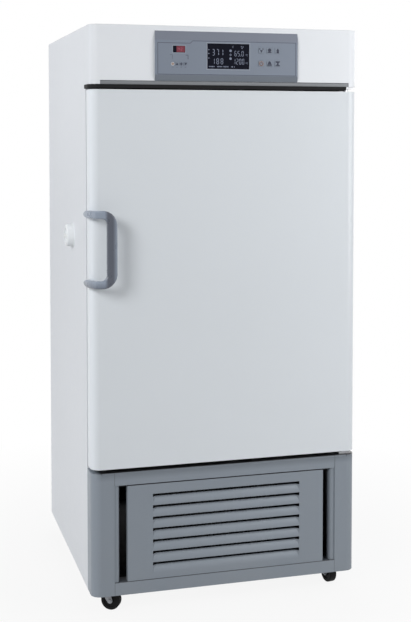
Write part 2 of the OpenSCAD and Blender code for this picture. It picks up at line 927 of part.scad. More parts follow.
module condenser() {
    color("silver") union() {
        translate([0, cond_y, cond_z]) fin_coil(cond_w, cond_d - run, cond_h, 10, 5);
        for (s = [-1, 1]) {
            bar(s * (cond_w / 2 - 14) - 1, s * (cond_w / 2 - 14) + 1, cond_y, cond_y + cond_d,
                tray_z + tray_t, cond_z + 4);
        }
    }
}

module fan_shroud() {
    color("dimgray") union() {
        difference() {
            union() {
                bar(-cond_w / 2 + 20, cond_w / 2 - 20, shroud_y, shroud_y + 2, cond_z + 1,
                    cond_z + cond_h - 1);
                translate([0, shroud_y, fan_axis_z]) rod_y(cond_fan_r + 6, 26);
            }
            translate([0, shroud_y - 1, fan_axis_z]) rod_y(cond_fan_r + 4, 30);
        }
        for (a = [45, 135]) {
            translate([0, shroud_y + 23.2, fan_axis_z]) rotate([0, a, 0]) {
                translate([-cond_fan_r - 5, 0, -5]) cube([2 * cond_fan_r + 10, 2, 10]);
            }
        }
        translate([0, shroud_y + 24, fan_axis_z]) rod_y(34, 46);
        translate([0, shroud_y + 4, fan_axis_z]) rod_y(4, 22);
    }
}

module condenser_fan() {
    color("gainsboro") translate([0, shroud_y + 22, fan_axis_z]) rotate([90, 0, 0]) {
        impeller(cond_fan_r, 20, 18, 4, 4 + pin_play, 28);
    }
}

// A pipe bent through a short list of corners, swept as one tube of flat facets
pipe_sides = 8;
pipe_bend = 14;
bend_steps = 4;

function toward(a, b, d) = a + (b - a) * d / norm(b - a);

function bent(p) = [
    for (i = [0 : len(p) - 1])
        if (i == 0 || i == len(p) - 1) p[i]
        else let (a = toward(p[i], p[i - 1], pipe_bend), b = toward(p[i], p[i + 1], pipe_bend))
            for (k = [0 : bend_steps]) let (t = k / bend_steps)
                a * (1 - t) * (1 - t) + p[i] * 2 * t * (1 - t) + b * t * t
];

function heading(p, i) = let (a = p[max(i - 1, 0)],
    b = p[min(i + 1, len(p) - 1)]) (b - a) / norm(b - a);

module pipe(corners, r) {
    p = bent(corners);
    n = len(p);
    aside = [0.31, 0.52, 0.79];
    rings = [
        for (i = [0 : n - 1]) let (d = heading(p, i), u = cross(d, aside), e = u / norm(u),
            f = cross(d, e))
            for (k = [0 : pipe_sides - 1]) let (t = k * 360 / pipe_sides)
                p[i] + r * (cos(t) * e + sin(t) * f)
    ];
    walls = [
        for (i = [0 : n - 2], k = [0 : pipe_sides - 1]) let (m = (k + 1) % pipe_sides,
            a = i * pipe_sides)
            [a + k, a + pipe_sides + k, a + pipe_sides + m, a + m]
    ];
    near = [for (k = [0 : pipe_sides - 1]) k];
    far = [for (k = [pipe_sides - 1 : -1 : 0]) (n - 1) * pipe_sides + k];
    polyhedron(points = rings, faces = concat(walls, [near, far]));
}

stub_top = comp_z + comp_foot + comp_body + dome_h + 10;
pipe_x = cond_w / 2 + 24;
suction_x = half_w - 100;
suction_y = ch_back - 20;

module refrigerant_pipes() {
    high = base_top - 24;
    left_stub = [comp_x - stub_x, comp_y, stub_top];
    right_stub = [comp_x + stub_x, comp_y, stub_top];
    color("peru") {
        pipe([
            left_stub, [left_stub[0], comp_y, high], [-pipe_x, comp_y, high],
                [-pipe_x, cond_y + 16, high],
            [-pipe_x, cond_y + 16, cond_z + cond_h - 20],
                [-cond_w / 2 - 1.4, cond_y + 16, cond_z + cond_h - 20]
        ], 3.2);
        pipe([
            right_stub, [right_stub[0], comp_y, high], [suction_x, suction_y, high],
            [suction_x, suction_y, ch_z - 6]
        ], 4.5);
    }
}

module power_inlet() {
    color(dark) difference() {
        union() {
            bar(inlet_x - 14, inlet_x + 14, back_y - 26, body_d + 1, inlet_z - 20, inlet_z + 20);
            pressed(body_d, body_d + 3) translate([inlet_x, inlet_z]) soft_rect(50, 48, 6);
        }
        bar(inlet_x - 11.5, inlet_x + 11.5, body_d - 16, body_d + 4, inlet_z - 8, inlet_z + 8);
        for (s = [-1, 1]) {
            translate([inlet_x + s * 20, body_d - 1, inlet_z]) rod_y(1.7, 5);
        }
    }
}

module hinge_brackets() {
    collar = 7;
    color(steel) {
        union() {
            bar(hinge_x - 16, hinge_x + 16, hinge_y - 12, frame_y - 0.5, base_top, base_top + 4);
            translate([hinge_x, hinge_y, base_top]) cylinder(r = collar, h = door_gap - run);
            translate([hinge_x, hinge_y, base_top]) cylinder(r = hinge_pin_r,
                h = door_gap + hinge_pin_l);
        }
        union() {
            bar(hinge_x - 6, hinge_x + 18, hinge_y - 12, frame_y, trim_z - 5, trim_z);
            translate([hinge_x, hinge_y, door_top + run]) cylinder(r = 6, h = cap_gap + cap_h - run);
            translate([hinge_x, hinge_y, door_top - hinge_pin_l]) {
                cylinder(r = hinge_pin_r, h = hinge_pin_l + cap_gap + cap_h);
            }
        }
    }
}

module cabinet_screws() {
    color(steel) back_screw_places() union() {
        translate([0, body_d, 0]) rod_y(4.2, 2);
        translate([0, back_y, 0]) rod_y(2.1, sheet_t + 0.5);
    }
}

module door_plan(depth) {
    rear_r = 4;
    union() {
        front_plan(0, depth - rear_r);
        translate([-half_w + rear_r, corner_r]) square([2 * (half_w - rear_r), depth - corner_r]);
        for (s = [-1, 1]) {
            translate([s * (half_w - rear_r), depth - rear_r]) circle(rear_r);
        }
    }
}

module dish() {
    pressed(dish_y, door_t + 1) translate([0, (dish_z0 + dish_z1) / 2]) {
        soft_rect(2 * dish_x, dish_z1 - dish_z0, 14);
    }
}

// The ends of the door are thickened round the hinge pins
module door_bosses() {
    for (z = [door_z + sheet_t - 0.5, door_top - sheet_t - hinge_pin_l - 4 + 0.5]) {
        translate([hinge_x, hinge_y, z]) cylinder(r = hinge_pin_r + 5, h = hinge_pin_l + 4);
    }
}

// Inside of the door's skin, open at the back but for the skin's folded edge
module door_core() {
    difference() {
        union() {
            translate([0, 0, door_z + sheet_t]) linear_extrude(door_h - 2 * sheet_t) {
                front_plan(sheet_t, door_t - liner_flange);
            }
            bar(-half_w + liner_edge, half_w - liner_edge, door_t - liner_flange - 1, door_t,
                door_z + liner_edge,
                door_top - liner_edge);
        }
        door_bosses();
    }
}

module door_shell() {
    color(white) difference() {
        translate([0, 0, door_z]) linear_extrude(door_h) door_plan(door_t);
        door_core();
        translate([hinge_x, hinge_y, door_z - 1]) cylinder(r = hinge_pin_r + pin_play,
            h = hinge_pin_l + 3);
        translate([hinge_x, hinge_y, door_top - hinge_pin_l - 2]) {
            cylinder(r = hinge_pin_r + pin_play, h = hinge_pin_l + 3);
        }
    }
}

// Inner lining with the foam core that is bonded to it
module door_liner() {
    color("whitesmoke") difference() {
        door_core();
        dish();
    }
}

module door_seal() {
    z0 = door_z + seal_inset;
    z1 = door_top - seal_inset;
    color("dimgray") union() {
        frame(-seal_x, seal_x, z0, z1, seal_w, door_t, door_t + 3);
        frame(-seal_x + 5, seal_x - 5, z0 + 5, z1 - 5, seal_w - 10, door_t, door_t + seal_gap - run);
        frame(-seal_x + 1, seal_x - 1, z0 + 1, z1 - 1, seal_w - 2, door_t + seal_gap - 4,
            door_t + seal_gap - run);
    }
}

// The handle is one swept bar. Each station holds its centre and two half widths as vectors: up and
// down or across the grip, and towards the hand. It leaves the pad on the door's side, comes round the
// door's edge to the front and turns up into the grip.
grip_x = -half_w + grip_reach - grip_w / 2;
grip_y = -grip_out + grip_t / 2;
handle_mid = door_z + handle_z;
arm_z = handle_mid - (handle_h - arm_h) / 2;
turn_x = grip_x - grip_w / 2 - grip_bend;
turn_z = arm_z + arm_h / 2 + grip_bend;
pad_x = -half_w - pad_t / 2;
handle_sides = 20;
arm_course = [
    [pad_x, pad_y], [pad_x, pad_y - 44], [turn_x - 15, grip_y], [turn_x, grip_y]
];
arm_parts = [0, 0.04, 0.09, 0.15, 0.22, 0.3, 0.42, 0.55, 0.68, 0.8, 0.9];

function on_course(c, t) = c[0] * pow(1 - t, 3) + 3 * c[1] * t * pow(1 - t, 2)
    + 3 * c[2] * t * t * (1 - t) + c[3] * pow(t, 3);

function along(c, t) = let (d = (c[1] - c[0]) * pow(1 - t, 2) + 2 * (c[2] - c[1]) * t * (1 - t)
    + (c[3] - c[2]) * t * t) d / norm(d);

function arm_fill(t) = t < 0.3 ? sqrt(1 - pow(1 - t / 0.3, 2) * 0.86) : 1;

arm_stations = [
    for (t = arm_parts) let (p = on_course(arm_course, t), d = along(arm_course, t),
        thick = (pad_t * (1 - t) + grip_t * t) / 2)
        [[p[0], p[1], arm_z], [0, 0, arm_fill(t) * arm_h / 2], thick * [d[1], -d[0], 0]]
];

corner_stations = [
    for (a = [0 : 15 : 90]) let (w = (arm_h + (grip_w - arm_h) * a / 90) / 2, r = grip_bend + w)
        [[turn_x + r * sin(a), grip_y, turn_z - r * cos(a)], w * [-sin(a), 0, cos(a)],
            [0, -grip_t / 2, 0]]
];

function flipped(s) = [[s[0][0], s[0][1], 2 * handle_mid - s[0][2]], [s[1][0], s[1][1], -s[1][2]],
    s[2]];

function dropped(s) = [
    s[0] - [0, 0, pad_drop * (s[0][1] - grip_y) / (pad_y - grip_y)], s[1], s[2]
];

function rounded(c) = sign(c) * pow(abs(c), 0.48);

module swept(stations, sides) {
    n = len(stations);
    rings = [
        for (s = stations, k = [0 : sides - 1]) let (t = k * 360 / sides)
            s[0] + rounded(cos(t)) * s[1] + rounded(sin(t)) * s[2]
    ];
    walls = [
        for (i = [0 : n - 2], k = [0 : sides - 1]) let (m = (k + 1) % sides, a = i * sides)
            [a + k, a + sides + k, a + sides + m, a + m]
    ];
    near = [for (k = [0 : sides - 1]) k];
    far = [for (k = [sides - 1 : -1 : 0]) (n - 1) * sides + k];
    polyhedron(points = rings, faces = concat(walls, [near, far]));
}

module door_handle() {
    half = concat(arm_stations, corner_stations);
    last = len(half) - 1;
    whole = concat(half, [for (i = [last : -1 : 0]) flipped(half[i])]);
    stations = [for (s = whole) dropped(s)];
    color(grey) difference() {
        swept(stations, handle_sides);
        translate([0, 0, door_z]) linear_extrude(door_h) union() {
            translate([-half_w, corner_r]) square([body_w / 2, door_t]);
            translate([-flat_w, corner_r]) circle(corner_r + run);
        }
    }
}

module glass_frame() {
    z0 = glass_z0;
    h = glass_z1 - glass_z0;
    color("silver") difference() {
        union() {
            difference() {
                bar(glass_left, glass_x, glass_y - glass_r, glass_y + glass_r, z0, glass_z1);
                bar(glass_left + glass_frame_w, glass_x - glass_frame_w, glass_y - 10, glass_y + 10,
                    z0 + glass_frame_w, glass_z1 - glass_frame_w);
            }
            translate([glass_x, glass_y, z0]) cylinder(r = glass_r, h = h);
        }
        bar(glass_left + glass_frame_w - 5, glass_x - glass_frame_w + 5, glass_y - glass_t / 2,
            glass_y + glass_t / 2, z0 + glass_frame_w - 5, glass_z1 - glass_frame_w + 5);
        for (z = [z0 - 1, glass_z1 - 11]) {
            translate([glass_x, glass_y, z]) cylinder(r = glass_pin_r + pin_play, h = 12);
        }
    }
}

module glass_pane() {
    color([0.7, 0.85, 0.9, 0.4]) bar(glass_left + glass_frame_w - 5, glass_x - glass_frame_w + 5,
        glass_y - glass_t / 2, glass_y + glass_t / 2, glass_z0 + glass_frame_w - 5,
            glass_z1 - glass_frame_w + 5);
}

module glass_knob() {
    color("silver") translate([glass_left + glass_frame_w / 2, glass_y - glass_r,
        (glass_z0 + glass_z1) / 2]) {
        rotate([90, 0, 0]) union() {
            cylinder(r = 4, h = 6);
            translate([0, 0, 3]) cylinder(r = 8, h = 4);
        }
    }
}

module key_power() {
    square_key(0, 1);
}

module key_set() {
    square_key(0, 0);
}

module key_mode() {
    square_key(1, 0);
}

module key_up() {
    square_key(2, 0);
}

module key_down() {
    square_key(2, 1);
}

module key_light() {
    square_key(1, 1);
}

module limit_key_1() {
    dot_key(0);
}

module limit_key_2() {
    dot_key(1);
}

module limit_key_3() {
    dot_key(2);
}

// A caster's fork, drawn with its swivel axis on the z axis and its wheel on the +x side
leg_in = wheel_w / 2 + 1;
leg_t = 2.5;

module fork() {
    head_z0 = 2 * wheel_r + 1;
    head_z1 = tray_z - 6 - run;
    color("gray") union() {
        translate([0, 0, head_z0]) cylinder(r = 19, h = head_z1 - head_z0);
        translate([0, 0, head_z0]) cylinder(r = stem_r, h = tray_z + tray_t - head_z0 + 8);
        translate([0, 0, tray_z + tray_t + run]) cylinder(r = 10, h = 6);
        for (s = [-1, 1]) {
            translate([0, s * (leg_in + leg_t / 2), 0]) rotate([90, 0, 0]) linear_extrude(leg_t,
                center = true) {
                union() {
                    polygon([[-13, head_z0 + 2], [13, head_z0 + 2], [trail + 7, axle_z + 2],
                        [trail + 5, axle_z - 5], [trail - 5, axle_z - 5]]);
                    translate([trail, axle_z]) circle(7);
                }
            }
        }
        translate([trail, -leg_in - leg_t - 1.5, axle_z]) rod_y(axle_r, 2 * (leg_in + leg_t + 1.5));
        for (s = [-1, 1]) {
            translate([trail, s * (leg_in + leg_t) + (s < 0 ? -2.5 : 0),
                axle_z]) rod_y(axle_r + 2, 2.5, $fn = 6);
        }
    }
}

module wheel() {
    shoulder = 3;
    color(dark) translate([trail, 0, axle_z]) rotate([90, 0, 0]) rotate_extrude() difference() {
        union() {
            translate([axle_r + pin_play,
                -wheel_w / 2]) square([wheel_r - shoulder - axle_r - pin_play, wheel_w]);
            translate([wheel_r - shoulder - 1, -wheel_w / 2 + shoulder]) square([shoulder + 1,
                wheel_w - 2 * shoulder]);
            for (s = [-1, 1]) {
                translate([wheel_r - shoulder, s * (wheel_w / 2 - shoulder)]) circle(shoulder);
            }
        }
        for (s = [-1, 1]) {
            translate([axle_r + 5,
                s > 0 ? wheel_w / 2 - 2 : -wheel_w / 2 - 1]) square([wheel_r * 0.68 - axle_r - 5, 3]);
        }
    }
}

module at_caster(side, y, turn) {
    translate([side * swivel_x, y, 0]) rotate([0, 0, turn]) children();
}

module fork_front_left() {
    at_caster(-1, swivel_front, turn_fl) fork();
}

module fork_front_right() {
    at_caster(1, swivel_front, turn_fr) fork();
}

module fork_rear_left() {
    at_caster(-1, swivel_rear, turn_rear) fork();
}

module fork_rear_right() {
    at_caster(1, swivel_rear, turn_rear) fork();
}

module wheel_front_left() {
    at_caster(-1, swivel_front, turn_fl) wheel();
}

module wheel_front_right() {
    at_caster(1, swivel_front, turn_fr) wheel();
}

module wheel_rear_left() {
    at_caster(-1, swivel_rear, turn_rear) wheel();
}

module wheel_rear_right() {
    at_caster(1, swivel_rear, turn_rear) wheel();
}

place() cabinet_shell();
place() back_panel();
place() head_front();
place() control_fascia();
place() display_window();
place() limiter_window();
place() head_trim();
place() head_cap();
place() foam_insulation();
place() chamber_liner();
place() front_frame();
place() shelf_tracks();
place() shelf_clips();
place() shelf_lower();
place() shelf_middle();
place() shelf_upper();
place() duct_panel();
place() evaporator();
place() circulation_motor();
place() circulation_fan();
place() port_sleeve();
place() port_plug();
place() post_left();
place() post_right();
place() top_rail();
place() bottom_rail();
place() base_tray();
place() louvre_panel();
place() compressor();
place() condenser();
place() fan_shroud();
place() condenser_fan();
place() refrigerant_pipes();
place() power_inlet();
place() hinge_brackets();
place() cabinet_screws();
place() door_shell();
place() door_liner();
place() door_seal();
place() door_handle();
place() glass_frame();
place() glass_pane();
place() glass_knob();
place() key_power();
place() key_set();
place() key_mode();
place() key_up();
place() key_down();
place() key_light();
place() limit_key_1();
place() limit_key_2();
place() limit_key_3();
place() fork_front_left();
place() fork_front_right();
place() fork_rear_left();
place() fork_rear_right();
place() wheel_front_left();
place() wheel_front_right();
place() wheel_rear_left();
place() wheel_rear_right();
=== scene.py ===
import math
import random

import bmesh
import bpy
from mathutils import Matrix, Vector


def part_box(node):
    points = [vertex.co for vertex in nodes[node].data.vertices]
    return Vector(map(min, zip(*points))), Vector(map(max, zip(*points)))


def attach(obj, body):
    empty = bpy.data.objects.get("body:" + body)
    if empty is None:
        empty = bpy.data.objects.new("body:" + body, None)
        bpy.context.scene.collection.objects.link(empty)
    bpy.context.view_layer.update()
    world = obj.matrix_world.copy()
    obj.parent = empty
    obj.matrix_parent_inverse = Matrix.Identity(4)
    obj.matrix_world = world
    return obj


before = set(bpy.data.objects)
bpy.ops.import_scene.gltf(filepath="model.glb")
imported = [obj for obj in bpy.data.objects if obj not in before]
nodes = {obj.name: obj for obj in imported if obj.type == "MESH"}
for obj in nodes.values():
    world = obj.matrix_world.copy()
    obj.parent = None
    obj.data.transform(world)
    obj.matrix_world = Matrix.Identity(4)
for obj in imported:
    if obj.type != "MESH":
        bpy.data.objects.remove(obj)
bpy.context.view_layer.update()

scene = bpy.context.scene
perMetre = 1000  # print and small pieces are drawn in millimetres
random.seed(7)  # only the widths of the tiny marks along the display's foot are drawn at random

# the photograph's view, the floor and the air, in metres and radians
studio = {
    "cameraPlace": (-0.8547, -3.1567, 1.2147),
    "cameraTurn": 0.2770,  # to the right of straight ahead
    "cameraDip": 0.0489,  # below level
    "lens": 67.2,
    "sensor": 36,
    "upShift": -0.1928,
    "farthest": 60,
    "ambient": 0.12,
    "ambientTint": (0.96, 0.98, 1.0),
    "floorColour": (0.50, 0.50, 0.50),
    "floorRoughness": 0.85,
    "floorSize": 14.0,
    "floorSquares": 8,
    "nearWhiteness": 0.90,  # how white the floor shows close to the cabinet
    "nearReach": 0.55,  # from the middle
    "farReach": 1.4,
}

# name: place, aimed at, width, height, watts, colour
lamps = {
    "farLeft": ((-4.5, -4.2, 3.4), (0.0, -0.3, 0.8), 2.6, 2.2, 212, (1, 1, 1)),
    "lowSide": ((-3.0, 0.5, 0.95), (-0.36, -0.1, 0.8), 0.9, 1.9, 6, (0.97, 0.99, 1.03)),
    "highSide": ((-2.6, 0.4, 3.0), (-0.36, 0.0, 1.1), 2.0, 2.0, 22, (0.97, 0.99, 1.03)),
    "bigRight": ((1.9, -1.7, 1.6), (0.2, -0.3, 0.8), 1.4, 2.2, 37, (1, 1, 1)),
    "rightHigh": ((2.2, -2.3, 2.9), (0.2, -0.3, 1.1), 1.4, 1.4, 3, (1, 1, 1)),
    "backFill": ((0.9, 2.8, 2.2), (0.0, 0.2, 0.8), 1.8, 1.8, 40, (1, 1, 1)),
    "rightBack": ((3.0, 1.0, 2.4), (0.36, 0.0, 0.9), 1.8, 1.8, 24, (1, 1, 1)),
}


def makeCamera(look):
    data = bpy.data.cameras.new("camera")
    camera = bpy.data.objects.new("camera", data)
    scene.collection.objects.link(camera)
    camera.location = look["cameraPlace"]
    camera.rotation_euler = (math.pi / 2 - look["cameraDip"], 0, -look["cameraTurn"])
    data.sensor_width = look["sensor"]
    data.lens = look["lens"]
    data.shift_y = look["upShift"]
    data.clip_end = look["farthest"]
    scene.camera = camera


def makeLamp(name, place, aim, width, height, watts, colour):
    data = bpy.data.lights.new(name, "AREA")
    data.shape = "RECTANGLE"
    data.size = width
    data.size_y = height
    data.energy = watts
    data.color = colour
    lamp = bpy.data.objects.new(name, data)
    scene.collection.objects.link(lamp)
    lamp.location = place
    lamp.rotation_euler = (Vector(aim) - Vector(place)).to_track_quat("-Z", "Y").to_euler()


makeCamera(studio)
for lampName, lampFacts in lamps.items():
    makeLamp(lampName, *lampFacts)
scene.view_settings.view_transform = "Standard"
print("camera and lamps stand")


class Wire:
    # one output of a shader node, so that sums on it read as plain Python
    def __init__(self, tree, socket):
        self.tree = tree
        self.socket = socket

    def maths(self, operation, *values):
        node = self.tree.nodes.new("ShaderNodeMath")
        node.operation = operation
        for slot, value in zip(node.inputs, values):
            if isinstance(value, Wire):
                self.tree.links.new(value.socket, slot)
            else:
                slot.default_value = value
        return Wire(self.tree, node.outputs[0])

    def __add__(self, other):
        return self.maths("ADD", self, other)

    __radd__ = __add__

    def __sub__(self, other):
        return self.maths("SUBTRACT", self, other)

    def __rsub__(self, other):
        return self.maths("SUBTRACT", other, self)

    def __mul__(self, other):
        return self.maths("MULTIPLY", self, other)

    __rmul__ = __mul__

    def __abs__(self):
        return self.maths("ABSOLUTE", self)

    def above(self, other):
        return self.maths("GREATER_THAN", self, other)

    def between(self, low, top):
        return self.above(low) * (1 - self.above(top))


class NodeTree:
    # the nodes of one material, or of the air
    def __init__(self, tree):
        self.tree = tree
        tree.nodes.clear()

    def feed(self, socket, value):
        if isinstance(value, Wire):
            self.tree.links.new(value.socket, socket)
        elif isinstance(value, (tuple, list)) and socket.type == "RGBA":
            socket.default_value = (*value, 1)
        else:
            socket.default_value = value

    def node(self, kind, settings=None, inputs=None, out=0):
        made = self.tree.nodes.new("ShaderNode" + kind)
        for key, value in (settings or {}).items():
            setattr(made, key, value)
        for key, value in (inputs or {}).items():
            self.feed(made.inputs[key], value)
        return Wire(self.tree, made.outputs[out])

    def backdropRays(self):
        # 1 for rays that show the backdrop: straight to the camera, off metal or through glass
        rays = self.node("LightPath").socket.node
        kinds = ("Is Camera Ray", "Is Glossy Ray", "Is Transmission Ray")
        return sum(Wire(self.tree, rays.outputs[kind]) for kind in kinds)


class Finish(NodeTree):
    # a material being built round one Principled shader
    def __init__(self, name, **steady):
        self.material = bpy.data.materials.new(name)
        self.material.use_nodes = True
        super().__init__(self.material.node_tree)
        self.output = self.tree.nodes.new("ShaderNodeOutputMaterial")
        self.shader = self.tree.nodes.new("ShaderNodeBsdfPrincipled")
        self.tree.links.new(self.shader.outputs[0], self.output.inputs[0])
        self.place = self.node("TexCoord", out="Object")
        self.set(**steady)

    def set(self, **changes):
        for key, value in changes.items():
            self.feed(self.shader.inputs[key.replace("_", " ")], value)

    def axes(self):
        # across, along and up, in metres
        parts = self.node("SeparateXYZ", None, {0: self.place}).socket.node.outputs
        return [Wire(self.tree, part) for part in parts]

    def height(self):
        return self.axes()[2]

    def stretched(self, x, y, z):
        return self.node("VectorMath", {"operation": "MULTIPLY"}, {0: self.place, 1: (x, y, z)})

    def cloud(self, scale, detail=2.0, place=None, roughness=0.5):
        return self.node("TexNoise", None, {
            "Vector": place or self.place, "Scale": scale, "Detail": detail,
            "Roughness": roughness,
        })

    def cells(self, scale, feature="F1"):
        return self.node("TexVoronoi", {"feature": feature}, {
            "Vector": self.place, "Scale": scale,
        })

    def span(self, value, low, high, toLow=0.0, toHigh=1.0):
        return self.node("MapRange", {"clamp": True}, {
            0: value, 1: low, 2: high, 3: toLow, 4: toHigh,
        })

    def blend(self, mask, first, second):
        return self.node("Mix", {"data_type": "RGBA"}, {0: mask, 6: first, 7: second}, out=2)

    def shades(self, mask, colour, first, second):
        # from one shade of a colour to another
        return self.blend(mask, shade(colour, first), shade(colour, second))

    def sheen(self, pattern, roughness, smoother, rougher):
        # roughness that drifts a little to both sides of its plain value
        low, high = roughness - smoother, roughness + rougher
        self.set(Roughness=self.span(pattern, 0.3, 0.7, low, high))

    def bump(self, height, distance):
        self.set(Normal=self.node("Bump", None, {
            "Height": height, "Distance": distance, "Strength": 1.0,
        }))


def shade(colour, amount):
    return tuple(min(1.0, max(0.0, part * amount)) for part in colour)


# the space behind the louvres, in metres, whose inner faces get painted shade: near black,
# standing in for the shade inside the closed compartment
machineSpace = {
    "floor": 0.052, "top": 0.3628, "front": -0.300, "back": 0.3739,
    "middle": 0.010, "sideReach": 0.3544, "tone": (0.022, 0.024, 0.028),
}


# mask of the machine space's inner faces, which get painted shade
def insideMachine(f):
    across, along, up = f.axes()
    space = machineSpace
    low = up.between(space["floor"], space["top"])
    deep = along.between(space["front"], space["back"])
    return low * deep * (1 - abs(across - space["middle"]).above(space["sideReach"]))


# painted shade and dark seams on the base's front, in metres up from the floor and out from its
# middle
baseLines = {
    "strip": 0.3633, "stripTone": (0.006, 0.006, 0.007),
    "shadeFrom": 0.343, "shadeDepth": 0.42, "shadeTone": (0.03, 0.033, 0.04),
    "postSeam": 0.297, "postSeamHalf": 0.0006, "postSeamDepth": 0.6,
    "lowerRailTop": 0.0834, "upperRailFoot": 0.331,
    "panelTop": (0.3279, 0.3312), "panelReach": 0.2642,
    "panelFoot": (0.0819, 0.0834), "footReach": 0.2965, "footDepth": 0.8,
    "seamAndGapShadeTone": (0.03, 0.034, 0.042),
}


def baseMarks(f, tone):
    # painted shade: near black on the base's top under the door gap, and shade below it; dark
    # seams between rails and posts; painted shade in the gaps over and under the louvred panel
    facts = baseLines
    across, _, up = f.axes()
    across = abs(across - machineSpace["middle"])
    dim = f.span(up, facts["shadeFrom"], facts["strip"], 0.0, facts["shadeDepth"])
    tone = f.blend(dim, tone, facts["shadeTone"])
    onSeam = 1 - abs(across - facts["postSeam"]).above(facts["postSeamHalf"])
    byPosts = onSeam * (1 - up.above(facts["lowerRailTop"]) + up.above(facts["upperRailFoot"]))
    # painted shade in the gaps over and under the louvred panel
    overPanel = up.between(*facts["panelTop"]) * (1 - across.above(facts["panelReach"]))
    underPanel = up.between(*facts["panelFoot"]) * (1 - across.above(facts["footReach"]))
    seamsAndGapShade = byPosts * facts["postSeamDepth"] + overPanel + underPanel * facts["footDepth"]
    tone = f.blend(seamsAndGapShade, tone, facts["seamAndGapShadeTone"])
    # painted shade: the base's top under the door gap turns near black
    return f.blend(up.above(facts["strip"]), tone, facts["stripTone"])


# heights and widths in metres, scales per metre
paint = {
    "driftScale": 1.7, "driftShades": (0.965, 1.035),
    "speckScale": 900, "speckShare": 0.35, "speckShade": 0.95,
    "dustHeights": (0.03, 0.35), "dustScale": 9, "dustTone": (0.42, 0.40, 0.37),
    "edgeWidth": 0.014, "edgeHighlight": 1.16, "topPaintedShade": 0.80,
    "sheenScale": 35, "sheenReach": (0.04, 0.05),
    "coarsePeel": 420, "finePeel": 1500, "finePeelShare": 0.3,
}


def powderCoat(name, colour, roughness, metallic=0.0, peel=0.00005, dust=0.05,
               darkInside=False, baseFront=False, highlightEdge=None, shadedTopFrom=None):
    facts = paint
    f = Finish(name, Metallic=metallic)
    tone = f.shades(f.cloud(facts["driftScale"]), colour, *facts["driftShades"])
    specks = f.span(f.cloud(facts["speckScale"], 1), 0.35, 0.65) * facts["speckShare"]
    tone = f.blend(specks, tone, shade(colour, facts["speckShade"]))
    settled = f.span(f.height(), *facts["dustHeights"], dust, 0.0)
    settled = settled * f.span(f.cloud(facts["dustScale"], 4), 0.35, 0.75)
    tone = f.blend(settled, tone, facts["dustTone"])
    # painted shade: the inner faces of the machine space turn near black
    if darkInside:
        tone = f.blend(insideMachine(f), tone, machineSpace["tone"])
    if baseFront:
        tone = baseMarks(f, tone)
    # painted shade: the top face is darker than the sides
    if shadedTopFrom:
        tone = f.blend(f.height().above(shadedTopFrom), tone, shade(colour, facts["topPaintedShade"]))
    # painted highlight: the left rounded edge is lighter
    if highlightEdge:
        leftward = 0 - f.axes()[0]
        edge = f.span(leftward, -highlightEdge, facts["edgeWidth"] - highlightEdge)
        tone = f.blend(edge, tone, shade(colour, facts["edgeHighlight"]))
    f.set(Base_Color=tone)
    f.sheen(f.cloud(facts["sheenScale"], 3), roughness, *facts["sheenReach"])
    fine = f.cloud(facts["finePeel"], 1) * facts["finePeelShare"]
    f.bump(f.cloud(facts["coarsePeel"]) + fine, peel)
    return f.material


plastic = {"driftScale": 3, "shades": (0.95, 1.05), "sheenScale": 60, "sheenReach": (0.05, 0.06)}


def mouldedPlastic(name, colour, roughness, grain=0.00006, grainScale=1400, metallic=0.0,
                   shine=0.5, shadeBands=()):
    # shadeBands: painted shade on the sloping bands; from and to in metres up, share, tone
    f = Finish(name, Metallic=metallic, Specular_IOR_Level=shine)
    tone = f.shades(f.cloud(plastic["driftScale"], 3), colour, *plastic["shades"])
    for low, top, share, tint in shadeBands:
        tone = f.blend(f.height().between(low, top) * share, tone, tint)
    f.set(Base_Color=tone)
    f.sheen(f.cloud(plastic["sheenScale"], 3), roughness, *plastic["sheenReach"])
    f.bump(f.cells(grainScale, "SMOOTH_F1"), grain)
    return f.material


brushed = {"shades": (0.88, 1.08), "streakShare": 0.6, "smearScale": 6,
           "sheenReach": (0.07, 0.1), "depth": 0.00004}


def brushedMetal(name, colour, grain=(3, 60, 1100), roughness=0.3, metallic=1.0):
    f = Finish(name, Metallic=metallic)
    streak = f.cloud(1, 4, f.stretched(*grain), 0.65)
    smear = f.cloud(brushed["smearScale"], 3)
    f.set(Base_Color=f.shades(streak, colour, *brushed["shades"]))
    share = brushed["streakShare"]
    f.sheen(streak * share + smear * (1 - share), roughness, *brushed["sheenReach"])
    f.bump(streak, brushed["depth"])
    return f.material


cast = {"patchScale": 12, "shades": (0.9, 1.08), "sheenReach": (0.08, 0.1), "grainScale": 500}


def castMetal(name, colour, roughness, blotch, depth=0.00008, metallic=1.0):
    f = Finish(name, Metallic=metallic)
    patch = f.span(f.cells(blotch * cast["patchScale"]), 0.1, 0.8)
    f.set(Base_Color=f.shades(patch, colour, *cast["shades"]))
    f.sheen(f.cloud(blotch, 4), roughness, *cast["sheenReach"])
    f.bump(f.cloud(cast["grainScale"], 3), depth)
    return f.material


foamCells = {"scale": 650, "shades": (1.05, 0.78), "depth": 0.0006, "roughness": 0.9}


def rigidFoam(name, colour):
    f = Finish(name, Roughness=foamCells["roughness"])
    cells = f.cells(foamCells["scale"])
    f.set(Base_Color=f.shades(cells, colour, *foamCells["shades"]))
    f.bump(1 - cells, foamCells["depth"])
    return f.material


rubber = {"bloomScale": 22, "bloomShade": 1.5, "bloomRoughness": 0.15,
          "grainScale": 700, "depth": 0.0001}


def softRubber(name, colour, roughness=0.62, shine=0.5):
    f = Finish(name, Specular_IOR_Level=shine)
    bloom = f.span(f.cloud(rubber["bloomScale"], 5), 0.45, 0.8)
    f.set(Base_Color=f.shades(bloom, colour, 1, rubber["bloomShade"]))
    f.set(Roughness=f.span(bloom, 0, 1, roughness, roughness + rubber["bloomRoughness"]))
    f.bump(f.cloud(rubber["grainScale"], 3), rubber["depth"])
    return f.material


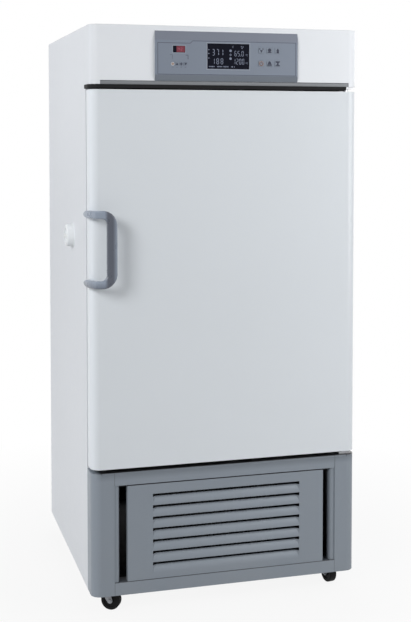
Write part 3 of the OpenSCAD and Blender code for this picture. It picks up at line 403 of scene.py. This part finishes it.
glass = {
    "windowShine": 0.12, "windowFilm": 8, "windowShade": 1.8, "windowRoughness": 0.14,
    "windowReach": (0.04, 0.04),
    "paneAlpha": 0.16, "paneFilm": 5, "paneShade": 0.97, "paneRoughness": (0.02, 0.07),
}


def darkWindow(name, colour):
    f = Finish(name, Specular_IOR_Level=glass["windowShine"])
    film = f.cloud(glass["windowFilm"], 3)
    f.set(Base_Color=f.shades(film, colour, 1, glass["windowShade"]))
    f.sheen(film, glass["windowRoughness"], *glass["windowReach"])
    return f.material


def clearPane(name, tint):
    f = Finish(name, IOR=1.45, Alpha=glass["paneAlpha"], Transmission_Weight=0.0)
    film = f.span(f.cloud(glass["paneFilm"], 4), 0.45, 0.75)
    f.set(Base_Color=f.shades(film, tint, 1, glass["paneShade"]))
    f.set(Roughness=f.span(film, 0, 1, *glass["paneRoughness"]))
    return f.material


glow = {"unlitShade": 0.5, "roughness": 0.5, "sparkScale": 260, "sparkShade": 0.86}


def glowingPrint(name, colour, strength):
    f = Finish(name, Base_Color=shade(colour, glow["unlitShade"]),
               Roughness=glow["roughness"], Emission_Strength=strength)
    f.set(Emission_Color=f.shades(f.cloud(glow["sparkScale"]), colour, glow["sparkShade"], 1))
    return f.material


# the handle's tones, in metres: painted shade under the lower arm, a darker grip from its left
# edge, and a painted highlight on the grip's right side
gripTones = {
    "undersideFrom": 0.836, "undersideTo": 0.851, "undersideDepth": 0.75,
    "gripEdge": -0.3155, "edgeSoftness": 0.004, "litSide": (0.0165, 0.0265), "litShade": 0.85,
    "wear": 0.3, "wearScale": 4, "roughness": 0.3, "sheenScale": 50, "sheenReach": (0.05, 0.06),
    "grainScale": 1200, "depth": 0.00004,
}


def handleTones(name, arms, grip):
    facts = gripTones
    f = Finish(name)
    across, _, up = f.axes()
    edge, soft = facts["gripEdge"], facts["edgeSoftness"]
    lit = shade(arms, facts["litShade"])
    # painted shade under the lower arm
    undersideShade = f.span(up, facts["undersideFrom"], facts["undersideTo"], facts["undersideDepth"], 0.0)
    onGrip = f.span(across, edge - soft, edge + soft)
    tone = f.blend(onGrip, f.blend(undersideShade, arms, grip), grip)
    # painted highlight along the grip's right side
    tone = f.blend(f.span(across, *(edge + step for step in facts["litSide"])), tone, lit)
    f.set(Base_Color=f.blend(f.cloud(facts["wearScale"], 3) * facts["wear"], tone, lit))
    f.sheen(f.cloud(facts["sheenScale"], 3), facts["roughness"], *facts["sheenReach"])
    f.bump(f.cloud(facts["grainScale"]), facts["depth"])
    return f.material


# finish: how it is made, the solids that wear it, and what sets it apart
coats = {
    "whiteCoat": (powderCoat, "cabinet_shell back_panel head_front", {
        "colour": (0.79, 0.815, 0.85), "roughness": 0.46, "darkInside": True, "shadedTopFrom": 1.4852}),
    "doorCoat": (powderCoat, "door_shell", {
        "colour": (0.70, 0.737, 0.773), "roughness": 0.32, "peel": 0.00002,
        "highlightEdge": -0.3235}),
    "greyCoat": (powderCoat, "post_left post_right top_rail bottom_rail louvre_panel", {
        "colour": (0.222, 0.253, 0.291), "roughness": 0.42, "metallic": 0.1, "peel": 0.00006,
        "dust": 0.06, "darkInside": True, "baseFront": True, "highlightEdge": -0.320}),
    "blackEnamel": (powderCoat, "compressor", {
        "colour": (0.012, 0.012, 0.013), "roughness": 0.22, "peel": 0.00012, "dust": 0.2}),
    "fasciaPlastic": (mouldedPlastic, "control_fascia", {
        "colour": (0.185, 0.215, 0.267), "roughness": 0.40, "metallic": 0.15,
        "shadeBands": ((1.348, 1.3632, 0.40, (0.105, 0.118, 0.125)),
                  (1.4502, 1.474, 0.40, (0.15, 0.150, 0.185)))}),
    "trimPlastic": (mouldedPlastic, "head_trim", {
        "colour": (0.215, 0.226, 0.242), "roughness": 0.34, "metallic": 0.2}),
    "handlePlastic": (handleTones, "door_handle", {
        "arms": (0.27, 0.315, 0.39), "grip": (0.060, 0.065, 0.086)}),
    "blackPlastic": (mouldedPlastic, "power_inlet", {
        "colour": (0.006, 0.006, 0.007), "roughness": 0.55}),
    "capPlastic": (mouldedPlastic, "head_cap", {
        "colour": (0.007, 0.007, 0.008), "roughness": 0.6, "shine": 0.14}),
    # painted shade: the base tray is near black and barely shiny, so its top seen through the
    # slots reads as shade
    "trayCoat": (mouldedPlastic, "base_tray", {
        "colour": (0.014, 0.016, 0.019), "roughness": 0.7, "shine": 0.06}),
    "keyPlastic": (
        mouldedPlastic,
        "key_power key_set key_mode key_up key_down key_light"
        " limit_key_1 limit_key_2 limit_key_3",
        {"colour": (0.205, 0.238, 0.292), "roughness": 0.42}),
    "framePlastic": (mouldedPlastic, "front_frame", {
        "colour": (0.80, 0.80, 0.79), "roughness": 0.5}),
    "liningPlastic": (mouldedPlastic, "door_liner", {
        "colour": (0.82, 0.82, 0.81), "roughness": 0.42, "grain": 0.0001, "grainScale": 700}),
    "fanPlastic": (mouldedPlastic, "circulation_fan condenser_fan", {
        "colour": (0.05, 0.05, 0.055), "roughness": 0.4}),
    "portPlastic": (mouldedPlastic, "port_plug port_sleeve", {
        "colour": (0.86, 0.885, 0.90), "roughness": 0.42, "grainScale": 900}),
    "rimPlastic": (mouldedPlastic, "", {"colour": (0.255, 0.285, 0.345), "roughness": 0.4}),
    "iconInk": (mouldedPlastic, "", {"colour": (0.010, 0.014, 0.035), "roughness": 0.5}),
    "brownInk": (mouldedPlastic, "", {"colour": (0.12, 0.062, 0.058), "roughness": 0.5}),
    "lineInk": (mouldedPlastic, "", {"colour": (0.060, 0.070, 0.105), "roughness": 0.5}),
    "paleInk": (mouldedPlastic, "", {"colour": (0.60, 0.63, 0.68), "roughness": 0.5}),
    "stainless": (
        brushedMetal,
        "chamber_liner shelf_tracks shelf_clips shelf_lower shelf_middle shelf_upper duct_panel",
        {"colour": (0.60, 0.60, 0.59)}),
    "finAluminium": (brushedMetal, "evaporator", {
        "colour": (0.72, 0.73, 0.74), "grain": (900, 40, 40), "roughness": 0.35}),
    "frameAluminium": (brushedMetal, "glass_frame glass_knob", {
        "colour": (0.68, 0.69, 0.70), "grain": (900, 900, 8), "roughness": 0.32}),
    "blackFins": (brushedMetal, "condenser", {
        "colour": (0.020, 0.021, 0.023), "grain": (900, 40, 40), "roughness": 0.6,
        "metallic": 0.0}),
    "zinc": (castMetal, "hinge_brackets cabinet_screws", {
        "colour": (0.62, 0.63, 0.65), "roughness": 0.34, "blotch": 6}),
    "forkSteel": (
        castMetal, "fork_front_left fork_front_right fork_rear_left fork_rear_right",
        {"colour": (0.26, 0.27, 0.29), "roughness": 0.42, "blotch": 8, "metallic": 0.6}),
    "copper": (castMetal, "refrigerant_pipes", {
        "colour": (0.74, 0.38, 0.23), "roughness": 0.32, "blotch": 20, "depth": 0.00004}),
    "darkSheet": (castMetal, "circulation_motor", {
        "colour": (0.20, 0.20, 0.21), "roughness": 0.45, "blotch": 8}),
    "blackSheet": (castMetal, "fan_shroud", {
        "colour": (0.018, 0.019, 0.021), "roughness": 0.55, "blotch": 8, "metallic": 0.0}),
    "foam": (rigidFoam, "foam_insulation", {"colour": (0.85, 0.76, 0.52)}),
    "seal": (softRubber, "door_seal", {"colour": (0.30, 0.31, 0.32)}),
    "tyreRubber": (
        softRubber, "wheel_front_left wheel_front_right wheel_rear_left wheel_rear_right",
        {"colour": (0.0035, 0.0035, 0.004), "roughness": 0.6, "shine": 0.15}),
    "displayGlass": (darkWindow, "display_window limiter_window", {
        "colour": (0.0008, 0.0014, 0.006)}),
    "pane": (clearPane, "glass_pane", {"tint": (0.82, 0.91, 0.90)}),
    "displayGlow": (glowingPrint, "", {"colour": (0.17, 0.195, 0.265), "strength": 0.58}),
    "redField": (glowingPrint, "", {"colour": (0.15, 0.014, 0.032), "strength": 0.45}),
    "redGlow": (glowingPrint, "", {"colour": (0.32, 0.07, 0.11), "strength": 0.6}),
    "amberGlow": (glowingPrint, "", {"colour": (0.34, 0.25, 0.21), "strength": 0.35}),
}

finishes = {}
dressed = 0
for coatName, (recipe, wearers, coatFacts) in coats.items():
    finishes[coatName] = recipe(coatName, **coatFacts)
    for wearer in wearers.split():
        skin = nodes[wearer].data
        skin.materials.clear()
        skin.materials.append(finishes[coatName])
        dressed += 1
print("finishes are on", dressed, "solids of", len(nodes))


def makeFloor(look):
    mesh = bpy.data.meshes.new("floor")
    bm = bmesh.new()
    squares = look["floorSquares"]
    bmesh.ops.create_grid(bm, x_segments=squares, y_segments=squares, size=look["floorSize"])
    bm.to_mesh(mesh)
    bm.free()
    floor = bpy.data.objects.new("floor", mesh)
    scene.collection.objects.link(floor)
    f = Finish("floorPaint", Roughness=look["floorRoughness"])
    f.set(Base_Color=f.shades(f.cloud(3), look["floorColour"], 1, 1.02))
    spread = f.node("VectorMath", {"operation": "LENGTH"}, {0: f.place}, out=1)
    white = f.span(spread, look["nearReach"], look["farReach"], look["nearWhiteness"], 1.0)
    f.feed(f.output.inputs[0], f.node("MixShader", None, {
        0: f.backdropRays() * white,
        1: Wire(f.tree, f.shader.outputs[0]),
        2: f.node("Emission", None, {"Color": (1, 1, 1), "Strength": 1.0}),
    }))
    mesh.materials.append(f.material)


def makeAir(look):
    world = bpy.data.worlds.new("studioAir")
    scene.world = world
    world.use_nodes = True
    air = NodeTree(world.node_tree)
    dim = {"Color": look["ambientTint"], "Strength": look["ambient"]}
    bright = {"Color": (1, 1, 1), "Strength": 1.0}
    output = air.tree.nodes.new("ShaderNodeOutputWorld")
    air.feed(output.inputs[0], air.node("MixShader", None, {
        0: air.backdropRays(),
        1: air.node("Background", None, dim),
        2: air.node("Background", None, bright),
    }))


makeFloor(studio)
makeAir(studio)
print("floor and backdrop are in")

sevenParts = {
    "0": "abcdef", "1": "bc", "2": "abged", "3": "abgcd", "4": "fgbc", "5": "afgcd",
    "6": "afgedc", "7": "abc", "8": "abcdefg", "9": "abfgcd", "C": "afed",
}


class Print:
    # gathers outlines in millimetres across and up, and pushes them out of an upright plane
    def __init__(self, name, plane, proud, depth=0.0):
        self.name = name
        self.front = plane - proud / perMetre
        self.back = plane + depth / perMetre
        self.bm = bmesh.new()

    def loop(self, points, y):
        return [self.bm.verts.new((x / perMetre, y, z / perMetre)) for x, z in points]

    def solid(self, points):
        turn = sum(a[0] * b[1] - b[0] * a[1] for a, b in zip(points, points[1:] + points[:1]))
        points = points if turn > 0 else points[::-1]
        near, far = self.loop(points, self.front), self.loop(points, self.back)
        self.bm.faces.new(near)
        self.bm.faces.new(far[::-1])
        for i in range(len(points)):
            j = (i + 1) % len(points)
            self.bm.faces.new((near[j], near[i], far[i], far[j]))

    def box(self, x0, x1, z0, z1):
        self.solid([(x0, z0), (x1, z0), (x1, z1), (x0, z1)])

    def band(self, outer, inner, closed):
        rows = [self.loop(p, y) for y in (self.front, self.back) for p in (outer, inner)]
        nearOut, nearIn, farOut, farIn = rows
        count = len(outer)
        for i in range(count if closed else count - 1):
            j = (i + 1) % count
            self.bm.faces.new((nearOut[i], nearOut[j], nearIn[j], nearIn[i]))
            self.bm.faces.new((farOut[j], farOut[i], farIn[i], farIn[j]))
            self.bm.faces.new((nearOut[j], nearOut[i], farOut[i], farOut[j]))
            self.bm.faces.new((nearIn[i], nearIn[j], farIn[j], farIn[i]))
        if not closed:
            self.bm.faces.new((nearOut[0], nearIn[0], farIn[0], farOut[0]))
            self.bm.faces.new((nearIn[-1], nearOut[-1], farOut[-1], farIn[-1]))

    def arc(self, x, z, radius, width, start=0.0, end=360.0, steps=28):
        closed = end - start >= 360
        angles = [math.radians(start + (end - start) * i / steps)
                  for i in range(steps if closed else steps + 1)]
        ring = [[(x + r * math.cos(a), z + r * math.sin(a)) for a in angles]
                for r in (radius, radius - width)]
        self.band(ring[0], ring[1], closed)

    def disc(self, x, z, radius, steps=20):
        self.solid([(x + radius * math.cos(2 * math.pi * i / steps),
                     z + radius * math.sin(2 * math.pi * i / steps)) for i in range(steps)])

    def outline(self, points, width):
        # a closed line of even width along corner points, mitred
        outer, inner = [], []
        for i, corner in enumerate(points):
            here = Vector(corner)
            into = (here - Vector(points[i - 1])).normalized()
            onto = (Vector(points[(i + 1) % len(points)]) - here).normalized()
            side = Vector((-into.y - onto.y, into.x + onto.x)).normalized()
            reach = width / 2 / max(0.3, side.dot(Vector((-into.y, into.x))))
            outer.append(tuple(here + side * reach))
            inner.append(tuple(here - side * reach))
        self.band(outer, inner, True)

    def around(self, edges, width):
        # a frame round a window's edges
        x0, x1, z0, z1 = edges
        half = width / 2
        self.outline([(x0 - half, z0 - half), (x1 + half, z0 - half),
                      (x1 + half, z1 + half), (x0 - half, z1 + half)], width)

    def digits(self, text, x, z, high, wide, pitch, thick):
        for mark in text:
            if mark == ".":
                self.box(x - thick * 0.6, x + thick * 0.6, z, z + thick * 1.1)
                x += pitch - wide
                continue
            for part in sevenParts[mark]:
                self.segment(part, x, z, wide, high, thick)
            x += pitch

    def segment(self, part, x, z, wide, high, thick):
        h = thick / 2
        gap = thick * 0.25
        left, right = x + h, x + wide - h
        flat = {"a": high - h, "g": high / 2, "d": h}
        if part in flat:
            at = z + flat[part]
            self.solid([(left + gap, at), (left + gap + h, at - h), (right - gap - h, at - h),
                        (right - gap, at), (right - gap - h, at + h), (left + gap + h, at + h)])
            return
        at = left if part in "fe" else right
        low, top = (high / 2, high - h) if part in "fb" else (h, high / 2)
        low, top = z + low + gap, z + top - gap
        self.solid([(at, low), (at + h, low + h), (at + h, top - h),
                    (at, top), (at - h, top - h), (at - h, low + h)])

    def sign(self, shapes, x, z, size):
        # shapes in shares of the sign's size, round its middle
        for kind, *facts in shapes:
            if kind == "fill":
                self.solid([(x + a * size, z + b * size) for a, b in facts])
            elif kind == "box":
                x0, x1, z0, z1 = (share * size for share in facts)
                self.box(x + x0, x + x1, z + z0, z + z1)
            elif kind == "disc":
                a, b, radius, steps = facts
                self.disc(x + a * size, z + b * size, radius * size, steps)
            elif kind == "arc":
                a, b, radius, width, start, end = facts
                self.arc(x + a * size, z + b * size, radius * size, width * size, start, end)

    def make(self, body, finish):
        bmesh.ops.recalc_face_normals(self.bm, faces=self.bm.faces)
        mesh = bpy.data.meshes.new(self.name)
        self.bm.to_mesh(mesh)
        self.bm.free()
        mesh.materials.append(finishes[finish])
        piece = bpy.data.objects.new(self.name, mesh)
        scene.collection.objects.link(piece)
        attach(piece, body)


def edgesOf(node):
    # left, right, foot and top, in millimetres
    low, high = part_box(node)
    return low.x * perMetre, high.x * perMetre, low.z * perMetre, high.z * perMetre


def middleOf(node):
    low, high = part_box(node)
    centre = (low + high) / 2 * perMetre
    return centre.x, centre.z


def frontOf(node):
    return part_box(node)[0].y


# places are shares of the window, from its left and its top; sizes are in millimetres
displayLook = {
    "proud": 0.15, "stroke": 1.35, "rim": 2.6, "rimSheet": (0.35, 0.2),
    # text, left, foot, share of the window's height, digit width, pitch, share of the stroke
    "readings": (
        ("371", 0.115, 0.475, 0.255, 6.6, 11.2, 1.25),
        ("188", 0.115, 0.815, 0.235, 6.6, 11.2, 1.0),
        ("65.0", 0.645, 0.49, 0.215, 6.0, 8.2, 1.0),
        ("1200", 0.615, 0.815, 0.235, 5.6, 7.9, 1.0),
    ),
    "signColumn": 0.552, "dotLevels": (0.275, 0.585), "dotRadius": 3.2,
    "ringLevel": 0.435, "ringRadius": 2.5, "ringWidth": 1.2,
    "unitLevels": (0.475, 0.79), "degreeAt": (0.925, 0.05), "degreeRadius": 1.3,
    "unitAt": 0.945, "unitHeight": 0.075, "thin": 0.6,
    "unitDigit": (3.0, 4.0, 0.8),  # width, pitch, stroke
    "pointerLevels": (0.25, 0.40, 0.575), "pointerAcross": (0.018, 0.066), "pointerHalf": 0.02,
    "fanAt": (0.83, 0.13), "fanHub": 0.6, "fanReach": 4.0, "fanTurn": 20,
    "lampAt": (0.612, 0.12), "lampRadius": 2.2,
    "footFrom": 0.04, "footLevels": (0.93, 0.885), "footMarks": 26, "footGap": 0.9,
    "footWidths": (1.3, 1.9, 2.6), "footSpaces": (6, 7, 13, 20, 21, 24),
}


def dressDisplay(look):
    edges = edgesOf("display_window")
    x0, x1, z0, z1 = edges
    wide, tall = x1 - x0, z1 - z0
    ink = Print("display_print", frontOf("display_window"), look["proud"])

    def across(share):
        return x0 + wide * share

    def up(share):
        return z1 - tall * share

    for text, left, foot, high, digitWide, pitch, weight in look["readings"]:
        stroke = look["stroke"] * weight
        ink.digits(text, across(left), up(foot), tall * high, digitWide, pitch, stroke)
    # a column of signs between the readings
    for level in look["dotLevels"]:
        ink.disc(across(look["signColumn"]), up(level), look["dotRadius"])
    ink.arc(across(look["signColumn"]), up(look["ringLevel"]), look["ringRadius"],
            look["ringWidth"], steps=20)
    # units beside the readings, and pointers at the left
    degreeAcross, degreeRise = look["degreeAt"]
    for level in look["unitLevels"]:
        ink.arc(across(degreeAcross), up(level - degreeRise), look["degreeRadius"],
                look["thin"], steps=14)
        ink.digits("C", across(look["unitAt"]), up(level), tall * look["unitHeight"],
                   *look["unitDigit"])
    tail, tip = look["pointerAcross"]
    for level in look["pointerLevels"]:
        ink.solid([(across(tail), up(level + look["pointerHalf"])), (across(tip), up(level)),
                   (across(tail), up(level - look["pointerHalf"]))])
    # a fan and a lamp along the top
    fanAcross, fanDown = look["fanAt"]
    for blade in range(3):
        turn = math.radians(blade * 120 + look["fanTurn"])
        corners = ((0, look["fanHub"]), (-0.42, look["fanReach"]), (0.5, look["fanReach"]))
        ink.solid([(across(fanAcross) + math.cos(turn + lean) * reach,
                    up(fanDown) + math.sin(turn + lean) * reach) for lean, reach in corners])
    lampAcross, lampDown = look["lampAt"]
    ink.arc(across(lampAcross), up(lampDown), look["lampRadius"], look["thin"], 40, 320, 16)
    # a row of tiny marks along the foot
    low, top = look["footLevels"]
    at = across(look["footFrom"])
    for i in range(look["footMarks"]):
        step = random.choice(look["footWidths"])
        if i not in look["footSpaces"]:
            ink.box(at, at + step, up(low), up(top))
        at += step + look["footGap"]
    ink.make("cabinet", "displayGlow")
    rim = Print("display_rim", frontOf("control_fascia"), *look["rimSheet"])
    rim.around(edges, look["rim"])
    rim.make("cabinet", "rimPlastic")


limiterLook = {
    "proud": 0.12, "play": 0.02, "redShare": 0.70, "margin": 0.8,
    "rim": 2.0, "rimSheet": (0.3, 0.2),  # width; proud of the fascia and sunk into it
    "digits": "42", "digitInset": 4.0, "digitRise": 4.6, "digitHeight": 0.46,
    "digitWidth": 4.6, "pitch": 6.6, "stroke": 1.1,
}


def dressLimiter(look):
    edges = edgesOf("limiter_window")
    x0, x1, z0, z1 = edges
    front = frontOf("limiter_window")
    start = x1 - (x1 - x0) * look["redShare"]
    margin = look["margin"]
    field = Print("limiter_field", front, look["proud"])
    field.box(start, x1 - margin, z0 + margin, z1 - margin)
    field.make("cabinet", "redField")
    reading = Print("limiter_digits", front, look["proud"] * 2, -look["proud"] - look["play"])
    reading.digits(look["digits"], start + look["digitInset"], z0 + look["digitRise"],
                   (z1 - z0) * look["digitHeight"], look["digitWidth"], look["pitch"],
                   look["stroke"])
    reading.make("cabinet", "redGlow")
    rim = Print("limiter_rim", frontOf("control_fascia"), *look["rimSheet"])
    rim.around(edges, look["rim"])
    rim.make("cabinet", "rimPlastic")


# drawn in shares of the sign's size, across and up from its middle
signShapes = {
    "power": (("arc", 0, -0.05, 0.42, 0.15, 125, 415), ("box", -0.08, 0.08, 0, 0.46)),
    "funnel": (("fill", (-0.30, 0.10), (0, -0.46), (0.30, 0.10)),
               ("disc", -0.34, 0.30, 0.13, 16), ("disc", 0.34, 0.30, 0.13, 16)),
    "knob": (("disc", 0, 0.10, 0.36, 24), ("box", -0.40, 0.40, -0.44, -0.24)),
    "arrow": (("fill", (-0.32, -0.02), (0.32, -0.02), (0, 0.48)),
              ("box", -0.24, 0.24, -0.48, -0.04)),
    "up": (("fill", (-0.44, -0.38), (0.44, -0.38), (0, 0.46)),),
    "down": (("fill", (-0.42, 0.38), (0, -0.44), (0.42, 0.38)),),
    "hourglass": (("box", -0.46, 0.46, -0.49, -0.31),
                  ("fill", (-0.38, -0.29), (0.38, -0.29), (0.13, -0.01), (-0.13, -0.01)),
                  ("box", -0.46, 0.46, 0.31, 0.49),
                  ("fill", (-0.38, 0.29), (0.38, 0.29), (0.13, 0.01), (-0.13, 0.01))),
    "lampShade": (("fill", (-0.48, -0.24), (0.48, -0.24), (0.16, 0.44), (-0.16, 0.44)),
                  ("box", -0.44, 0.44, -0.46, -0.30)),
    "cross": (("box", -0.46, 0.46, -0.15, 0.15), ("box", -0.15, 0.15, 0.17, 0.46),
              ("box", -0.15, 0.15, -0.46, -0.17)),
}

# key: its sign, the sign's size in millimetres, ink
keySigns = {
    "key_power": ("power", 12.0, "brownInk"), "key_set": ("funnel", 13.0, "iconInk"),
    "key_mode": ("knob", 12.6, "iconInk"), "key_up": ("arrow", 13.0, "iconInk"),
    "key_down": ("hourglass", 12.6, "iconInk"), "key_light": ("lampShade", 13.0, "iconInk"),
    "limit_key_1": ("up", 8.2, "iconInk"), "limit_key_2": ("cross", 7.6, "iconInk"),
    "limit_key_3": ("down", 8.2, "iconInk"),
}
keyLook = {"inkProud": 0.12, "ringRadius": 6.4, "ringWidth": 1.0}


def dressKeys(look):
    for key, (sign, size, inkName) in keySigns.items():
        ink = Print(key + "_sign", frontOf(key), look["inkProud"])
        ink.sign(signShapes[sign], *middleOf(key), size)
        ink.make(key, inkName)
    ring = Print("key_power_ring", frontOf("key_power"), look["inkProud"])
    ring.arc(*middleOf("key_power"), look["ringRadius"], look["ringWidth"], steps=40)
    ring.make("key_power", "amberGlow")


fasciaLook = {
    "footBand": 15, "topBand": 23,  # the sloping bands, left free of print
    "lineWidth": 1.3, "lineInset": 6.5, "lineGap": 1.2, "tabWidth": 84, "tabDrop": 6.0,
    "lampRadius": 3.4, "lampSide": 10.9, "lampRing": 0.9, "lampPlay": 0.05, "lampSteps": 32,
    "dashHalf": (2.2, 0.4), "dashDrop": 8.2,
    "bracketOut": 8, "bracketArm": 7, "bracketDrop": 5.4, "bracketFoot": 16.5,
    "bracketPlay": 0.2, "bracketWidths": (0.8, 1.6),  # left and right
    # how far each stands proud of the fascia, and how deep it is sunk
    "lineSheet": (0.2, 0.2), "ringSheet": (0.5, 0.3), "lampSheet": (0.9, 0.3),
    "markSheet": (0.12, 0.2),
}


def dressFascia(look):
    front = frontOf("control_fascia")
    x0, x1, z0, z1 = edgesOf("control_fascia")
    left, right = x0 + look["lineInset"], x1 - look["lineInset"]
    foot = z0 + look["footBand"] + look["lineGap"]
    top = z1 - look["topBand"] - look["lineGap"]
    tabEnd, drop = left + look["tabWidth"], look["tabDrop"]
    lines = Print("fascia_lines", front, *look["lineSheet"])
    lines.outline([(left, foot), (right, foot), (right, top), (tabEnd + drop, top),
                   (tabEnd, top - drop), (left, top - drop)], look["lineWidth"])
    lines.make("cabinet", "lineInk")
    keyX, keyZ = middleOf("limit_key_1")
    lampX = keyX - look["lampSide"]
    bezel = Print("limiter_lamp_ring", front, *look["ringSheet"])
    bezel.arc(lampX, keyZ, look["lampRadius"] + look["lampRing"], look["lampRing"],
              steps=look["lampSteps"])
    bezel.make("cabinet", "paleInk")
    lamp = Print("limiter_lamp", front, *look["lampSheet"])
    lamp.disc(lampX, keyZ, look["lampRadius"] - look["lampPlay"], look["lampSteps"])
    lamp.make("cabinet", "amberGlow")
    # a dash under the lamp and each small key, and two brackets under the limiter
    marks = Print("fascia_marks", front, *look["markSheet"])
    dashWide, dashHigh = look["dashHalf"]
    under = keyZ - look["dashDrop"]
    for i in range(4):
        at = lampX + i * look["lampSide"]
        marks.box(at - dashWide, at + dashWide, under - dashHigh, under + dashHigh)
    windowLeft, windowRight, windowFoot, _ = edgesOf("limiter_window")
    arm, level = look["bracketArm"], windowFoot - look["bracketDrop"]
    starts = (windowLeft - look["bracketOut"], windowRight + look["bracketOut"] - arm)
    for a, width in zip(starts, look["bracketWidths"]):
        b = a + arm
        marks.box(a, b, level - width, level)
        marks.box(b - width, b, windowFoot - look["bracketFoot"],
                  level - width - look["bracketPlay"])
    marks.make("cabinet", "lineInk")


# a black return lip behind the top rail: a dark sheet standing in for the shade at the top of the
# slots beside the louvred panel
shadeLipLook = {"reach": 11.0, "setBack": 27.0, "sheet": 1.2, "inset": 1.0, "overlap": 0.5}


def hangShadeLip(look):
    foot = edgesOf("top_rail")[2]
    left, right = edgesOf("post_left")[1], edgesOf("post_right")[0]
    plane = frontOf("top_rail") + look["setBack"] / perMetre
    shadeLip = Print("rail_shade_lip", plane, 0.0, look["sheet"])
    shadeLip.box(left + look["inset"], right - look["inset"], foot - look["reach"],
            foot + look["overlap"])
    shadeLip.make("cabinet", "blackSheet")


hangShadeLip(shadeLipLook)
dressDisplay(displayLook)
dressLimiter(limiterLook)
dressKeys(keyLook)
dressFascia(fasciaLook)
print("displays, keys and fascia are dressed")
